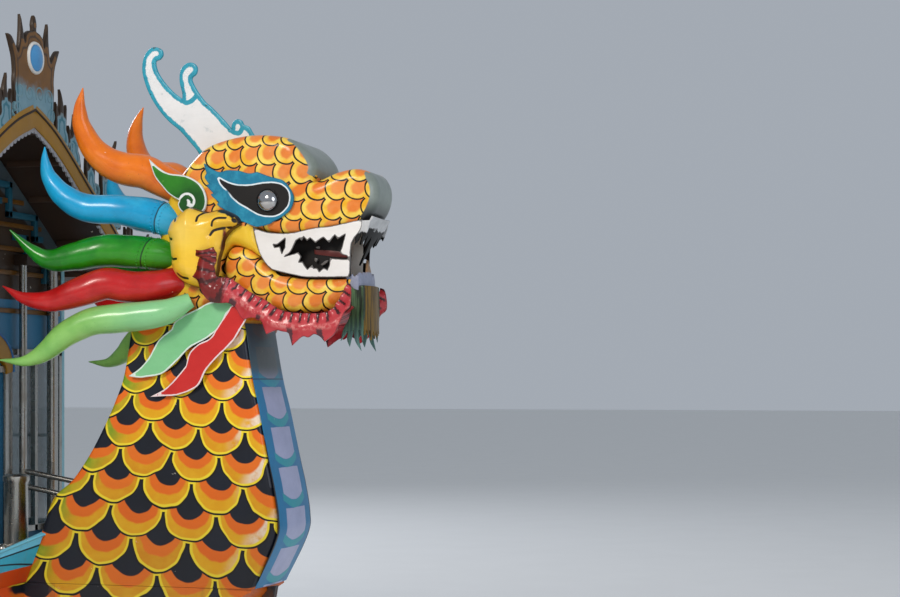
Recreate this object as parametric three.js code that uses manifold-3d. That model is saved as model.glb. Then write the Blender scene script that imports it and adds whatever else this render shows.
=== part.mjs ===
// A river tour boat with a painted dragon head at its bow, in millimetres.
// +X points to the bow, +Y to port, +Z up. The origin is amidships on the centreline, at the waterline.
import * as THREE from "three";
import { mergeVertices } from "three/addons/utils/BufferGeometryUtils.js";
import Module from "manifold-3d";

const wasm = await Module();
wasm.setup();

// Driving dimensions
const GAP = 0.5; // between pieces that touch
const DECK_PLATE = 25;
const BULWARK_WALL = 40;
const DECK_MARGIN = 60;
const CABIN = { fore: 4600, aft: -4500, half: 1150, wall: 40, sill: 1180, head: 2250 };
const ROOF = { fore: 4980, aft: -4900, thick: 60 };
const EYE = { x: 6500, z: 3000 }; // place and height of the eyes
const PROPELLER = { x: -5680, z: -330, radius: 190, hub: 42 };
const RUDDER = { x: -6330, stock: 30, socket: 38 };
const DOOR = { half: 370, top: 2120, thick: 28 };
const WHEEL = { x: 3720, y: -620, z: 1560, radius: 230 };

// Hull stations: place along the boat, half-breadth and height of the deck edge, top of the bulwark,
// half-breadth and height of the chine, height of the keel
const HULL = [
  { x: -6900, deck: 1000, deckZ: 780, top: 1020, chine: 780, chineZ: 240, keel: 130 },
  { x: -6200, deck: 1220, deckZ: 720, top: 940, chine: 1010, chineZ: 90, keel: 20 },
  { x: -5200, deck: 1350, deckZ: 650, top: 860, chine: 1160, chineZ: -80, keel: -180 },
  { x: -4200, deck: 1410, deckZ: 600, top: 800, chine: 1240, chineZ: -190, keel: -400 },
  { x: -2000, deck: 1450, deckZ: 560, top: 750, chine: 1300, chineZ: -230, keel: -420 },
  { x: 0, deck: 1450, deckZ: 550, top: 740, chine: 1300, chineZ: -230, keel: -420 },
  { x: 2000, deck: 1430, deckZ: 580, top: 780, chine: 1220, chineZ: -200, keel: -420 },
  { x: 3200, deck: 1390, deckZ: 650, top: 860, chine: 950, chineZ: -110, keel: -420 },
  { x: 4000, deck: 1330, deckZ: 730, top: 950, chine: 650, chineZ: 40, keel: -330 },
  { x: 4500, deck: 1250, deckZ: 810, top: 1040, chine: 460, chineZ: 200, keel: -180 },
  { x: 4800, deck: 1080, deckZ: 870, top: 1110, chine: 350, chineZ: 330, keel: -70 },
  { x: 4960, deck: 820, deckZ: 910, top: 1160, chine: 300, chineZ: 420, keel: 5 },
  { x: 5030, deck: 560, deckZ: 930, top: 1195, chine: 270, chineZ: 470, keel: 35 },
];
// Fore foot under the neck: place, half-breadth of its flat sides, height where they start to close in, keel
const FORE_FOOT_TOP = 950;
const FORE_FOOT = [
  { x: 5080, side: 262, low: 520, keel: 60 },
  { x: 5400, side: 262, low: 600, keel: 190 },
  { x: 5750, side: 262, low: 680, keel: 380 },
  { x: 6050, side: 258, low: 780, keel: 580 },
  { x: 6280, side: 250, low: 880, keel: 780 },
  { x: 6400, side: 245, low: 935, keel: 920 },
];

// Neck sections from the bottom up: aft and fore edge (x, z) and the half-breadth at each
const NECK = [
  { aft: [5062, 952], fore: [6414, 952], wide: 262, front: 235 },
  { aft: [5167, 1213], fore: [6537, 1210], wide: 262, front: 262 },
  { aft: [5243, 1409], fore: [6549, 1330], wide: 262, front: 262 },
  { aft: [5357, 1513], fore: [6525, 1486], wide: 260, front: 258 },
  { aft: [5457, 1652], fore: [6500, 1600], wide: 256, front: 254 },
  { aft: [5544, 1812], fore: [6472, 1735], wide: 250, front: 248 },
  { aft: [5606, 1948], fore: [6440, 1890], wide: 244, front: 242 },
  { aft: [5655, 2096], fore: [6404, 2080], wide: 236, front: 234 },
  { aft: [5700, 2396], fore: [6358, 2396], wide: 224, front: 220 },
];
const NECK_CHAMFER = 28;
const BELLY = { proud: 14, margin: 6 };

// Figurehead outlines, as x and z from the eye's centre
const SKULL = [
  [-480, 197], [-372, 294], [-234, 339], [-68, 354], [98, 342], [217, 246], [247, 160], [188, 51],
  [262, 90], [350, 146], [444, 166], [520, 142], [556, 90], [562, 30], [540, -40], [508, -102],
  [400, -122], [250, -155], [113, -172], [0, -160], [-82, -140], [-60, -222], [-24, -300], [-66, -290],
  [-124, -255], [-217, -229], [-266, -292], [-278, -388], [-330, -520], [-430, -596], [-560, -560],
  [-640, -400], [-656, -200], [-610, 0], [-560, 110],
];
const JAW = [
  [-257, -300], [-213, -237], [-122, -263], [-64, -300], [-10, -334], [44, -374], [120, -397],
  [217, -408], [414, -410], [408, -450], [380, -512], [291, -581], [142, -592], [-7, -565],
  [-120, -515], [-205, -450], [-258, -385],
];
const MOUTH = [
  [-76, -146], [0, -166], [113, -178], [250, -161], [400, -128], [500, -110], [466, -250],
  [440, -340], [410, -404], [217, -401], [122, -389], [46, -366], [-4, -326], [-52, -222],
];
const MOUTH_GAP = [
  [170, -190], [205, -215], [235, -188], [270, -212], [300, -186], [335, -208], [365, -172], [405, -180],
  [398, -250], [380, -290], [350, -320], [318, -352], [290, -325], [262, -362], [225, -318], [180, -330],
  [185, -270],
];
const HORN = [
  [-455, 190], [-510, 305], [-544, 345], [-613, 420], [-677, 472], [-726, 524], [-765, 576], [-800, 637],
  [-825, 701], [-838, 757], [-835, 812], [-816, 856], [-786, 883], [-751, 885], [-719, 867], [-715, 839],
  [-756, 810], [-754, 776], [-736, 734], [-702, 687], [-653, 635], [-600, 595], [-615, 684], [-615, 733],
  [-600, 769], [-569, 791], [-535, 789], [-512, 763], [-517, 729], [-542, 707], [-510, 634], [-466, 577],
  [-422, 539], [-349, 465], [-312, 424], [-300, 460], [-275, 473], [-250, 463], [-239, 442], [-208, 428],
  [-185, 391], [-140, 330],
];
const EAR = [
  [-672, 240], [-606, 162], [-455, 124], [-385, 76], [-345, 10], [-360, -60], [-440, -78],
  [-502, -45], [-522, 0], [-580, 46], [-634, 120],
];
const PATCH = [
  [-358, 193], [-249, 190], [-108, 164], [-6, 140], [83, 101], [134, 52], [145, 0], [128, -58],
  [78, -104], [-6, -128], [-108, -105], [-210, -55], [-312, 6],
];
const LEAVES = [
  [-205, -540], [-387, -573], [-541, -673], [-797, -923], [-663, -928], [-500, -846], [-640, -1010],
  [-655, -1024], [-395, -1002], [-224, -817], [-151, -675], [-150, -560],
];
const RUFFLE = [
  [-430, -240], [-330, -330], [-282, -400], [-205, -470], [-110, -532], [-5, -586], [142, -612],
  [300, -602], [400, -524], [430, -430], [452, -470], [447, -600], [395, -640], [380, -735], [315, -690],
  [240, -760], [170, -690], [90, -762], [40, -680], [-30, -700], [-80, -620], [-170, -600],
  [-200, -540], [-290, -520], [-300, -450], [-370, -400], [-360, -330],
];

// Where the cheek gives way to the ruffle's upper end
const RUFFLE_SEAT = [
  [-448, -226], [-368, -328], [-380, -404], [-300, -462], [-190, -462], [-190, -300], [-330, -215],
];

// Mane tentacles of the starboard side: centre line as x, y outwards from the centreline, z, and radius
const MANE = {
  orange: [
    [6000, 130, 3072, 80], [5906, 150, 3104, 84], [5770, 185, 3175, 92], [5633, 240, 3204, 86],
    [5525, 285, 3281, 70], [5465, 330, 3409, 51], [5463, 358, 3514, 32], [5491, 380, 3617, 4],
  ],
  blue: [
    [5960, 150, 2893, 86], [5814, 220, 2942, 90], [5663, 290, 2967, 80], [5488, 330, 2980, 75],
    [5371, 365, 3045, 63], [5301, 390, 3141, 43], [5285, 410, 3225, 24], [5292, 430, 3302, 4],
  ],
  green: [
    [5930, 165, 2726, 80], [5759, 260, 2741, 88], [5601, 335, 2747, 86], [5460, 375, 2720, 77],
    [5318, 410, 2699, 56], [5218, 440, 2752, 32], [5107, 470, 2859, 4],
  ],
  red: [
    [5975, 190, 2590, 76], [5850, 270, 2556, 84], [5740, 330, 2551, 85], [5627, 385, 2567, 85],
    [5484, 430, 2520, 78], [5340, 460, 2477, 57], [5196, 482, 2494, 32], [5081, 500, 2558, 4],
  ],
  mint: [
    [6080, 300, 2480, 40], [5941, 350, 2412, 70], [5742, 385, 2386, 78], [5566, 425, 2365, 74],
    [5424, 455, 2296, 67], [5317, 480, 2205, 51], [5211, 505, 2157, 28], [5075, 530, 2163, 4],
  ],
};
const MANE_SIDES = 10;

// Roof line: half-breadth and height of the upper face
const ROOF_LINE = [
  { y: 0, z: 3580 }, { y: 200, z: 3500 }, { y: 750, z: 3150 }, { y: 1250, z: 2830 }, { y: 1560, z: 2720 },
];

// Finishes: colour, roughness, metalness
const FINISH = {
  scales: [0xe9a51e, 0.4, 0.1],
  hull: [0xd9551f, 0.5, 0.1],
  strake: [0x5fb4cf, 0.5, 0.1],
  cream: [0xe8dfc4, 0.5, 0.1],
  iron: [0x26282b, 0.6, 0.6],
  deck: [0x6f5a44, 0.8, 0],
  gold: [0xe6ac1b, 0.4, 0.1],
  belly: [0x2f7fb0, 0.45, 0.1],
  white: [0xe9e6df, 0.5, 0],
  black: [0x121214, 0.5, 0],
  ruffle: [0xb9303f, 0.45, 0.1],
  beard: [0x31473a, 0.6, 0.1],
  orange: [0xe8701a, 0.35, 0.1],
  blue: [0x219ac4, 0.35, 0.1],
  green: [0x1c7a26, 0.35, 0.1],
  red: [0xb0222c, 0.35, 0.1],
  mint: [0x84c487, 0.4, 0.1],
  steel: [0xb9bec2, 0.2, 1],
  cabin: [0x8fb9c6, 0.5, 0],
  roof: [0x3d6f95, 0.6, 0.1],
  fascia: [0xc68a1e, 0.5, 0.1],
  glass: [0x9fb7bd, 0.08, 0],
  seat: [0x1f4f9a, 0.6, 0],
  bronze: [0x9a7434, 0.35, 1],
  engine: [0x55605a, 0.6, 0.3],
};

// Solids

// A closed geometry as a solid that can be joined and cut, facing outwards
function solid(geometry) {
  const bare = new THREE.BufferGeometry();
  bare.setAttribute("position", geometry.getAttribute("position"));
  if (geometry.index) bare.setIndex(geometry.index);
  const merged = mergeVertices(bare, 1e-3);
  const p = merged.attributes.position.array;
  const faces = [];
  let volume = 0;
  for (let i = 0; i < merged.index.count; i += 3) {
    const [a, b, c] = [0, 1, 2].map((k) => merged.index.getX(i + k));
    if (a === b || b === c || c === a) continue;
    faces.push(a, b, c);
    const [A, B, C] = [a, b, c].map((k) => new THREE.Vector3().fromArray(p, 3 * k));
    volume += A.dot(B.cross(C));
  }
  if (volume < 0) faces.reverse();
  return new wasm.Manifold(
    new wasm.Mesh({ numProp: 3, vertProperties: p, triVerts: new Uint32Array(faces) }),
  );
}

// A solid's faces as a geometry
function faces(body) {
  const mesh = body.getMesh();
  const geometry = new THREE.BufferGeometry();
  geometry.setAttribute("position", new THREE.BufferAttribute(mesh.vertProperties, mesh.numProp));
  geometry.setIndex(new THREE.BufferAttribute(mesh.triVerts, 1));
  geometry.computeVertexNormals();
  return geometry;
}

// The solids of a list joined into one
const joined = (parts) => parts.reduce((sum, part) => sum.add(part));

// A solid turned over to the other side of the centreline
const mirrored = (body) => solid(faces(body).scale(1, -1, 1));

function moved(body, x, y, z) {
  return solid(faces(body).translate(x, y, z));
}

// Whether an outline turns at a point; a point on a straight stretch is left out
function turns(point, i, list) {
  const before = list[(i + list.length - 1) % list.length];
  const after = list[(i + 1) % list.length];
  const edge = new THREE.Vector2().subVectors(point, before);
  return Math.abs(edge.cross(new THREE.Vector2().subVectors(after, point))) > 1e-3;
}

// A shape through points, straight or smooth
function outline(points, smooth = false) {
  const list = points.map(([x, y]) => new THREE.Vector2(x, y));
  if (THREE.ShapeUtils.isClockWise(list)) list.reverse();
  if (!smooth) return new THREE.Shape(list.filter(turns));
  const curve = new THREE.CatmullRomCurve3(
    list.map((p) => new THREE.Vector3(p.x, p.y, 0)), true, "centripetal",
  );
  const round = curve.getPoints(2 * list.length).slice(0, -1);
  return new THREE.Shape(round.map((p) => new THREE.Vector2(p.x, p.y)));
}

// Cuts a hole in a shape; its points run the other way round than the shape's own
function cut(shape, points) {
  shape.holes.push(new THREE.Path(outline(points).getPoints().reverse()));
}

function extruded(shape, depth) {
  return new THREE.ExtrudeGeometry(shape, { depth, bevelEnabled: false, curveSegments: 8 });
}

// A plate that stands fore and aft: its shape in x and z, between two heights of y
function sidePlate(shape, y0, y1) {
  return solid(extruded(shape, y1 - y0).rotateX(Math.PI / 2).translate(0, y1, 0));
}

// A plate that stands athwart: its shape in y and z, between two places along x
function crossPlate(shape, x0, x1) {
  const turn = new THREE.Matrix4().set(0, 0, 1, x0, 1, 0, 0, 0, 0, 1, 0, 0, 0, 0, 0, 1);
  return solid(extruded(shape, x1 - x0).applyMatrix4(turn));
}

function block(x0, x1, y0, y1, z0, z1) {
  const box = new THREE.BoxGeometry(x1 - x0, y1 - y0, z1 - z0);
  return solid(box.translate((x0 + x1) / 2, (y0 + y1) / 2, (z0 + z1) / 2));
}

// A round bar from one point to another
function bar(from, to, radius, sides = 10) {
  const a = new THREE.Vector3(...from);
  const b = new THREE.Vector3(...to);
  const along = b.clone().sub(a);
  const rod = new THREE.CylinderGeometry(radius, radius, along.length(), sides);
  rod.applyQuaternion(
    new THREE.Quaternion().setFromUnitVectors(new THREE.Vector3(0, 1, 0), along.normalize()),
  );
  return solid(rod.translate(...a.add(b).multiplyScalar(0.5).toArray()));
}

// A skin over rings of points that all have the same count, closed at both ends
function loft(rings) {
  const count = rings[0].length;
  const points = rings.flat().map((p) => new THREE.Vector3(...p));
  const index = [];
  for (let r = 0; r + 1 < rings.length; r++) {
    for (let i = 0; i < count; i++) {
      const j = (i + 1) % count;
      const a = r * count;
      const b = a + count;
      index.push(a + i, a + j, b + i, a + j, b + j, b + i);
    }
  }
  for (const [start, flip] of [[0, true], [(rings.length - 1) * count, false]]) {
    const middle = new THREE.Vector3();
    for (let i = 0; i < count; i++) middle.addScaledVector(points[start + i], 1 / count);
    points.push(middle);
    for (let i = 0; i < count; i++) {
      const j = (i + 1) % count;
      if (flip) index.push(start + j, start + i, points.length - 1);
      else index.push(start + i, start + j, points.length - 1);
    }
  }
  const geometry = new THREE.BufferGeometry().setFromPoints(points);
  return solid(geometry.setIndex(index));
}

// A tube of changing radius along a smooth line through points [x, y, z, radius]
function tapered(points, steps, sides) {
  const line = new THREE.CatmullRomCurve3(points.map(([x, y, z]) => new THREE.Vector3(x, y, z)));
  const radii = new THREE.CatmullRomCurve3(points.map((p) => new THREE.Vector3(p[3], 0, 0)));
  const frames = line.computeFrenetFrames(steps);
  const rings = [];
  for (let s = 0; s <= steps; s++) {
    const centre = line.getPoint(line.getUtoTmapping(s / steps));
    const radius = radii.getPoint(line.getUtoTmapping(s / steps)).x;
    rings.push(
      Array.from({ length: sides }, (_, i) => {
        const angle = (2 * Math.PI * i) / sides;
        return centre
          .clone()
          .addScaledVector(frames.normals[s], radius * Math.cos(angle))
          .addScaledVector(frames.binormals[s], radius * Math.sin(angle))
          .toArray();
      }),
    );
  }
  return loft(rings);
}

// Hull

// A station's value at any place along the boat
function along(x, key) {
  const next = Math.max(1, HULL.findIndex((s) => s.x >= x));
  const [a, b] = [HULL[next - 1], HULL[next]];
  return THREE.MathUtils.mapLinear(x, a.x, b.x, a[key], b[key]);
}

const deckTop = (x) => along(x, "deckZ") + GAP + DECK_PLATE;

// Two places along the boat and the stations between them, where the deck changes its slope
const kinks = (from, to) => [from, ...HULL.map((s) => s.x).filter((x) => x > from && x < to), to];

// One ring of the hull's skin, seen from astern
function hullRing(s, grow = 0) {
  const half = [
    [s.deck, s.deckZ],
    [s.chine + (s.deck - s.chine) * 0.6, s.chineZ + (s.deckZ - s.chineZ) * 0.6],
    [s.chine + (s.deck - s.chine) * 0.22, s.chineZ + (s.deckZ - s.chineZ) * 0.25],
    [s.chine, s.chineZ],
    [30 + (s.chine - 30) * 0.55, s.keel + (s.chineZ - s.keel) * 0.35],
    [30, s.keel],
  ];
  const port = half.map(([y, z]) => [s.x, y + grow, z]);
  return [...port, ...port.map(([x, y, z]) => [x, -y, z]).reverse()];
}

function footRing(s) {
  const half = [
    [s.side, FORE_FOOT_TOP],
    [s.side, FORE_FOOT_TOP - 0.5 * (FORE_FOOT_TOP - s.low)],
    [s.side, s.low],
    [30 + (s.side - 30) * 0.8, s.low + 0.35 * (s.keel - s.low)],
    [30 + (s.side - 30) * 0.42, s.low + 0.72 * (s.keel - s.low)],
    [30, s.keel],
  ];
  const port = half.map(([y, z]) => [s.x, y, z]);
  return [...port, ...port.map(([x, y, z]) => [x, -y, z]).reverse()];
}

function hull() {
  const body = loft([...HULL.map((s) => hullRing(s)), ...FORE_FOOT.map(footRing)]);
  const socket = bar([RUDDER.x, 0, -60], [RUDDER.x, 0, 130], RUDDER.socket, 16);
  return body.subtract(socket);
}

function deck() {
  const rings = HULL.map((s) => {
    const half = Math.max(s.deck - DECK_MARGIN, 180);
    const x = Math.max(s.x, HULL[0].x + DECK_MARGIN);
    const [low, high] = [deckTop(x) - DECK_PLATE, deckTop(x)];
    return [[x, half, low], [x, half, high], [x, -half, high], [x, -half, low]];
  });
  return loft(rings);
}

// The bulwark stands on the deck's edge, along both sides and across the stern
function bulwark() {
  const side = loft(
    HULL.map((s) => {
      const [outer, inner] = [s.deck - 4, s.deck - 4 - BULWARK_WALL];
      const z = s.deckZ + GAP;
      return [[s.x, outer, z], [s.x, outer + 20, s.top], [s.x, inner + 20, s.top], [s.x, inner, z]];
    }),
  );
  const stern = HULL[0];
  const across = block(
    stern.x, stern.x + BULWARK_WALL, 4 - stern.deck, stern.deck - 4, stern.deckZ + 2, stern.top,
  );
  return joined([side, mirrored(side), across]);
}

// The rub rail follows the deck's edge outside the plating
function rubRail() {
  const rings = HULL.map((s) => {
    const flare = (s.deck - s.chine) / (s.deckZ - s.chineZ);
    const skin = (z) => s.deck - (s.deckZ - z) * flare + 1.5;
    const [high, low] = [s.deckZ - 6, s.deckZ - 62];
    return [
      [s.x, skin(high), high], [s.x, skin(high) + 26, high - 8],
      [s.x, skin(low) + 26, low + 8], [s.x, skin(low), low],
    ];
  });
  const behind = rings[0].map(([x, y, z]) => [x - 30, y, z]);
  const side = loft([behind, ...rings]);
  const stern = HULL[0];
  const across = block(
    stern.x - 30, stern.x - 1, -stern.deck - 10, stern.deck + 10, stern.deckZ - 58, stern.deckZ - 8,
  );
  const plating = loft(HULL.map((s) => hullRing(s, 1)));
  return joined([side, mirrored(side), across]).subtract(plating);
}

// A bar along stem and keel; aft it deepens to a skeg that carries the propeller shaft
function stemAndKeel() {
  const line = [...HULL.filter((s) => s.x > -4300), ...FORE_FOOT].map((s) => [s.x, s.keel]);
  const [tipX, tipZ] = line[line.length - 1];
  const upper = line.map(([x, z]) => [x, z - 1.5]);
  const lower = line
    .map(([x, z], i) => {
      const [px, pz] = line[Math.max(0, i - 1)];
      const [nx, nz] = line[Math.min(line.length - 1, i + 1)];
      const length = Math.hypot(nx - px, nz - pz);
      return [x + (55 * (nz - pz)) / length, z - (55 * (nx - px)) / length];
    })
    .reverse();
  const skegTop = [-5450, along(-5450, "keel") - 3];
  const mid = [-5200, along(-5200, "keel") - 3];
  const skeg = [[-5450, PROPELLER.z], [-5200, -460], [-4200, -475]];
  const shape = outline([
    ...upper, [tipX + 8, tipZ + 20], [tipX + 52, tipZ + 26], ...lower, ...skeg.reverse(), skegTop, mid,
  ]);
  const boss = bar([-5560, 0, PROPELLER.z], [-5300, 0, PROPELLER.z], PROPELLER.hub, 14);
  return joined([sidePlate(shape, -22, 22), boss]);
}

// A mooring bitt: foot plate, round post and cross bar
const BITT = { foot: 110, plate: 24, post: 55, height: 330, cross: 26, crossHalf: 170, crossZ: 230 };

function bitt(x) {
  const z = deckTop(x) + GAP;
  const top = z + BITT.plate;
  const foot = loft(
    kinks(x - BITT.foot, x + BITT.foot).map((at) => {
      const low = deckTop(at) + GAP;
      return [[at, -BITT.foot, low], [at, -BITT.foot, top], [at, BITT.foot, top], [at, BITT.foot, low]];
    }),
  );
  const post = bar([x, 0, top - 10], [x, 0, z + BITT.height], BITT.post, 14);
  const cross = bar([x, -BITT.crossHalf, z + BITT.crossZ], [x, BITT.crossHalf, z + BITT.crossZ], BITT.cross);
  return joined([foot, post, cross]);
}

// Figurehead, in its own frame with the eye's height and place as origin

const ROUNDING = 12; // of the head's sheet edges
const HEAD_BLANK = 250; // half-breadth of a head block before it is narrowed

// The head narrows towards the snout: half-breadth at each place along x
const HEAD_WIDTH = [
  { x: -700, half: 200 }, { x: -450, half: 244 }, { x: -150, half: 254 }, { x: 120, half: 250 },
  { x: 250, half: 212 }, { x: 420, half: 172 }, { x: 570, half: 158 },
];
function headHalf(x) {
  const next = Math.max(1, HEAD_WIDTH.findIndex((s) => s.x >= x));
  const [a, b] = [HEAD_WIDTH[next - 1], HEAD_WIDTH[next]];
  return THREE.MathUtils.mapLinear(x, a.x, b.x, a.half, b.half);
}

// A side outline as a block over the head's whole breadth, its edges rounded
function headBlock(points, share = 1) {
  const geometry = new THREE.ExtrudeGeometry(outline(points), {
    depth: 2 * (HEAD_BLANK - ROUNDING), bevelEnabled: true, bevelThickness: ROUNDING,
    bevelSize: ROUNDING, bevelOffset: -ROUNDING, bevelSegments: 2, curveSegments: 4,
  });
  geometry.rotateX(Math.PI / 2).translate(0, HEAD_BLANK - ROUNDING, 0);
  const p = geometry.attributes.position;
  for (let i = 0; i < p.count; i++) {
    p.setY(i, (p.getY(i) / HEAD_BLANK) * headHalf(p.getX(i)) * share);
  }
  return solid(geometry);
}

// The room that the skull takes up, with a small gap round it
const skullRoom = () => solid(faces(headBlock(SKULL)).scale(1.006, 1.01, 1.006));

// A mane tentacle of the starboard side, its root cut to the skull's surface
function tentacle(colour) {
  const line = MANE[colour].map(([x, y, z, radius]) => [x, -y, z, radius]);
  return tapered(line, 13, MANE_SIDES).subtract(moved(skullRoom(), EYE.x, 0, EYE.z));
}

function neck() {
  const rings = NECK.map((s) => {
    const c = NECK_CHAMFER;
    const half = [
      [s.fore, 0, s.front - c], [s.fore, -c, s.front], [s.aft, c, s.wide], [s.aft, 0, s.wide - c],
    ];
    const port = half.map(([[x, z], shift, y]) => [x + shift, y, z]);
    return [...port, ...port.map(([x, y, z]) => [x, -y, z]).reverse()];
  });
  return loft(rings);
}

function neckBelly() {
  const rings = NECK.slice(0, -1).map((s) => {
    const x = s.fore[0] + GAP;
    const y = s.front - BELLY.margin - NECK_CHAMFER;
    const z = s.fore[1];
    return [[x, y, z], [x + BELLY.proud, y - 8, z], [x + BELLY.proud, 8 - y, z], [x, -y, z]];
  });
  return loft(rings);
}

function mouthPlate() {
  const shape = outline(MOUTH);
  cut(shape, MOUTH_GAP);
  const plate = new THREE.ExtrudeGeometry(shape, { depth: 8, bevelEnabled: false });
  plate.rotateX(Math.PI / 2);
  const p = plate.attributes.position;
  for (let i = 0; i < p.count; i++) p.setY(i, p.getY(i) - headHalf(p.getX(i)) + 22);
  return solid(plate);
}

// The jaw carries the tongue and, in front, the lip
function lowerJaw() {
  const tongue = sidePlate(
    outline([[-20, -420], [-20, -330], [120, -300], [260, -262], [340, -262], [350, -285], [270, -300],
      [180, -340], [150, -430]]),
    -80, 80,
  );
  return joined([headBlock(JAW, 0.97), tongue]);
}

// A row of pointed teeth across the snout, hanging or standing from a strip
function teethRow(half, strip, length, count, fang) {
  const points = [[-half, strip]];
  const pitch = (2 * half) / count;
  for (let i = 0; i < count; i++) {
    const reach = i === 0 || i === count - 1 ? fang : length;
    points.push([i * pitch - half, 0], [(i + 0.5) * pitch - half, -reach]);
  }
  points.push([half, 0]);
  points.push([half, strip]);
  return outline(points);
}

const FRONT = { upperX: 496, upperZ: -112, lowerX: 418, lowerZ: -404, half: 140 };

function upperTeeth() {
  const row = crossPlate(teethRow(FRONT.half, 10, 85, 6, 165), 0, 10);
  const turned = faces(moved(row, 0, 0, -14)).rotateY(0.22);
  return solid(turned.translate(FRONT.upperX, 0, FRONT.upperZ));
}

function lowerTeeth() {
  const row = crossPlate(teethRow(FRONT.half - 2, 62, 55, 6, 110), 0, 10);
  const upright = faces(row).scale(1, 1, -1);
  return solid(upright.rotateY(0.1).translate(FRONT.lowerX, 0, FRONT.lowerZ + 10));
}

function beard() {
  const strands = (from, to, top, deep, count) => {
    const points = [[from, top]];
    const step = (to - from) / count;
    for (let i = 0; i < count; i++) {
      const at = from + step * i;
      points.push([at, deep + 60], [at + step * 0.5, deep - 20 * (i % 2)]);
    }
    points.push([to, deep + 60]);
    points.push([to, top]);
    return outline(points);
  };
  const side = sidePlate(strands(440, 525, -470, -740, 3), 132, 142);
  const front = crossPlate(strands(-142, 142, -470, -735, 6), 515, 525);
  const shelf = block(436, 525, -142, 142, -478, -468);
  return joined([side, mirrored(side), front, shelf]);
}

// The horn stands on the middle of the skull
function horn() {
  return sidePlate(outline(HORN), -7, 7).subtract(skullRoom());
}

// An outline drawn larger about its own middle
function grownOutline(points, factor) {
  const middle = [0, 1].map((k) => points.reduce((sum, p) => sum + p[k], 0) / points.length);
  return outline(points.map((p) => p.map((v, k) => middle[k] + (v - middle[k]) * factor)));
}

// The cheek bulges from the head's side and makes room for the ear, the eye's patch and the ruffle
function cheek() {
  const bulb = new THREE.SphereGeometry(1, 18, 12).scale(165, 120, 190).translate(-425, -236, -185);
  const curl = new THREE.SphereGeometry(1, 14, 10).scale(105, 62, 48).rotateY(0.45);
  const whole = joined([solid(bulb), solid(curl.translate(-262, -268, -62))]);
  const neighbours = [[EAR, 1.08], [PATCH, 1.03], [RUFFLE_SEAT, 1]];
  return neighbours.reduce(
    (body, [points, factor]) => body.subtract(sidePlate(grownOutline(points, factor), -500, -200)),
    whole.subtract(block(-700, 0, -261, 200, -600, 300)),
  );
}

function ear() {
  return sidePlate(outline(EAR, true), -276, -262);
}

function eye() {
  const patch = sidePlate(outline(PATCH), -265, -259);
  const ball = solid(new THREE.SphereGeometry(57, 20, 12).translate(0, -262, 0));
  return joined([patch, ball]).subtract(block(-400, 200, -259, 0, -200, 300));
}

function leaves() {
  return sidePlate(outline(LEAVES), -272, -262);
}

function chinRuffle() {
  const side = sidePlate(outline(RUFFLE), -296, -284);
  const lining = [[-60, -612], [140, -632], [330, -622], [430, -560], [430, -575], [335, -640], [140, -648],
    [-60, -628]];
  return joined([side, mirrored(side), sidePlate(outline(lining), -290, 290)]);
}

// Cabin

// The height of the roof's lower face
function roofUnder(y) {
  const next = Math.max(1, ROOF_LINE.findIndex((s) => s.y >= Math.abs(y)));
  const [a, b] = [ROOF_LINE[next - 1], ROOF_LINE[next]];
  return THREE.MathUtils.mapLinear(Math.abs(y), a.y, b.y, a.z, b.z) - ROOF.thick;
}

const WINDOW = { count: 7, post: 90 };

// A side wall follows the deck's sheer and stands up to the roof
function cabinSide() {
  const { fore, aft, half, wall } = CABIN;
  const top = roofUnder(half) - 8;
  const foot = kinks(aft, fore).map((x) => [x, deckTop(x) + GAP]);
  const shape = outline([[aft, top], ...foot, [fore, top]]);
  let wallPlate = sidePlate(shape, -half, wall - half);
  const pitch = (fore - aft - WINDOW.post) / WINDOW.count;
  for (let i = 0; i < WINDOW.count; i++) {
    const x0 = aft + WINDOW.post + pitch * i;
    const gap = block(x0, x0 + pitch - WINDOW.post, -half - 50, 100 - half, CABIN.sill, CABIN.head);
    wallPlate = wallPlate.subtract(gap);
  }
  return wallPlate;
}

function cabinGlass() {
  const y = CABIN.wall - CABIN.half + GAP;
  const margin = 45;
  return block(
    CABIN.aft + margin, CABIN.fore - margin, y, y + 6, CABIN.sill - margin, CABIN.head + margin,
  );
}

// A bulkhead across the cabin, between the side walls, with a doorway and a window on each side
function bulkhead(x0, x1) {
  const half = CABIN.half - CABIN.wall - 8;
  const foot = Math.max(deckTop(x0), deckTop(x1)) + 1;
  const line = ROOF_LINE.map((s) => s.y).filter((y) => y < half);
  const rake = [...line.slice(1).reverse().map((y) => -y), ...line];
  const shape = outline([
    [-half, foot], [-half, roofUnder(half) - 8], ...rake.map((y) => [y, roofUnder(y) - 8]),
    [half, roofUnder(half) - 8], [half, foot], [DOOR.half, foot], [DOOR.half, DOOR.top],
    [-DOOR.half, DOOR.top], [-DOOR.half, foot],
  ]);
  const pane = block(x0 - 50, x1 + 50, DOOR.half + 80, half - 60, CABIN.sill, CABIN.head - 40);
  return crossPlate(shape, x0, x1).subtract(pane).subtract(mirrored(pane));
}

// A sliding door hangs inside its bulkhead; its window is cut
function door(x0) {
  const foot = Math.max(deckTop(x0), deckTop(x0 + DOOR.thick)) + 12;
  const half = DOOR.half + 30;
  const shape = outline([[-half, foot], [half, foot], [half, DOOR.top + 40], [-half, DOOR.top + 40]]);
  const [side, low, high] = [half - 90, 1250, DOOR.top - 60];
  cut(shape, [[-side, low], [side, low], [side, high], [-side, high]]);
  return crossPlate(shape, x0, x0 + DOOR.thick);
}

function roof() {
  const upper = ROOF_LINE.map((s) => [s.y, s.z]);
  const lower = ROOF_LINE.map((s) => [s.y, s.z - ROOF.thick]).reverse();
  const left = (list) => list.map(([y, z]) => [-y, z]).reverse();
  const shape = outline([...left(upper.slice(1)), ...upper, ...lower, ...left(lower.slice(0, -1))]);
  return crossPlate(shape, ROOF.aft, ROOF.fore);
}

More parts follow.
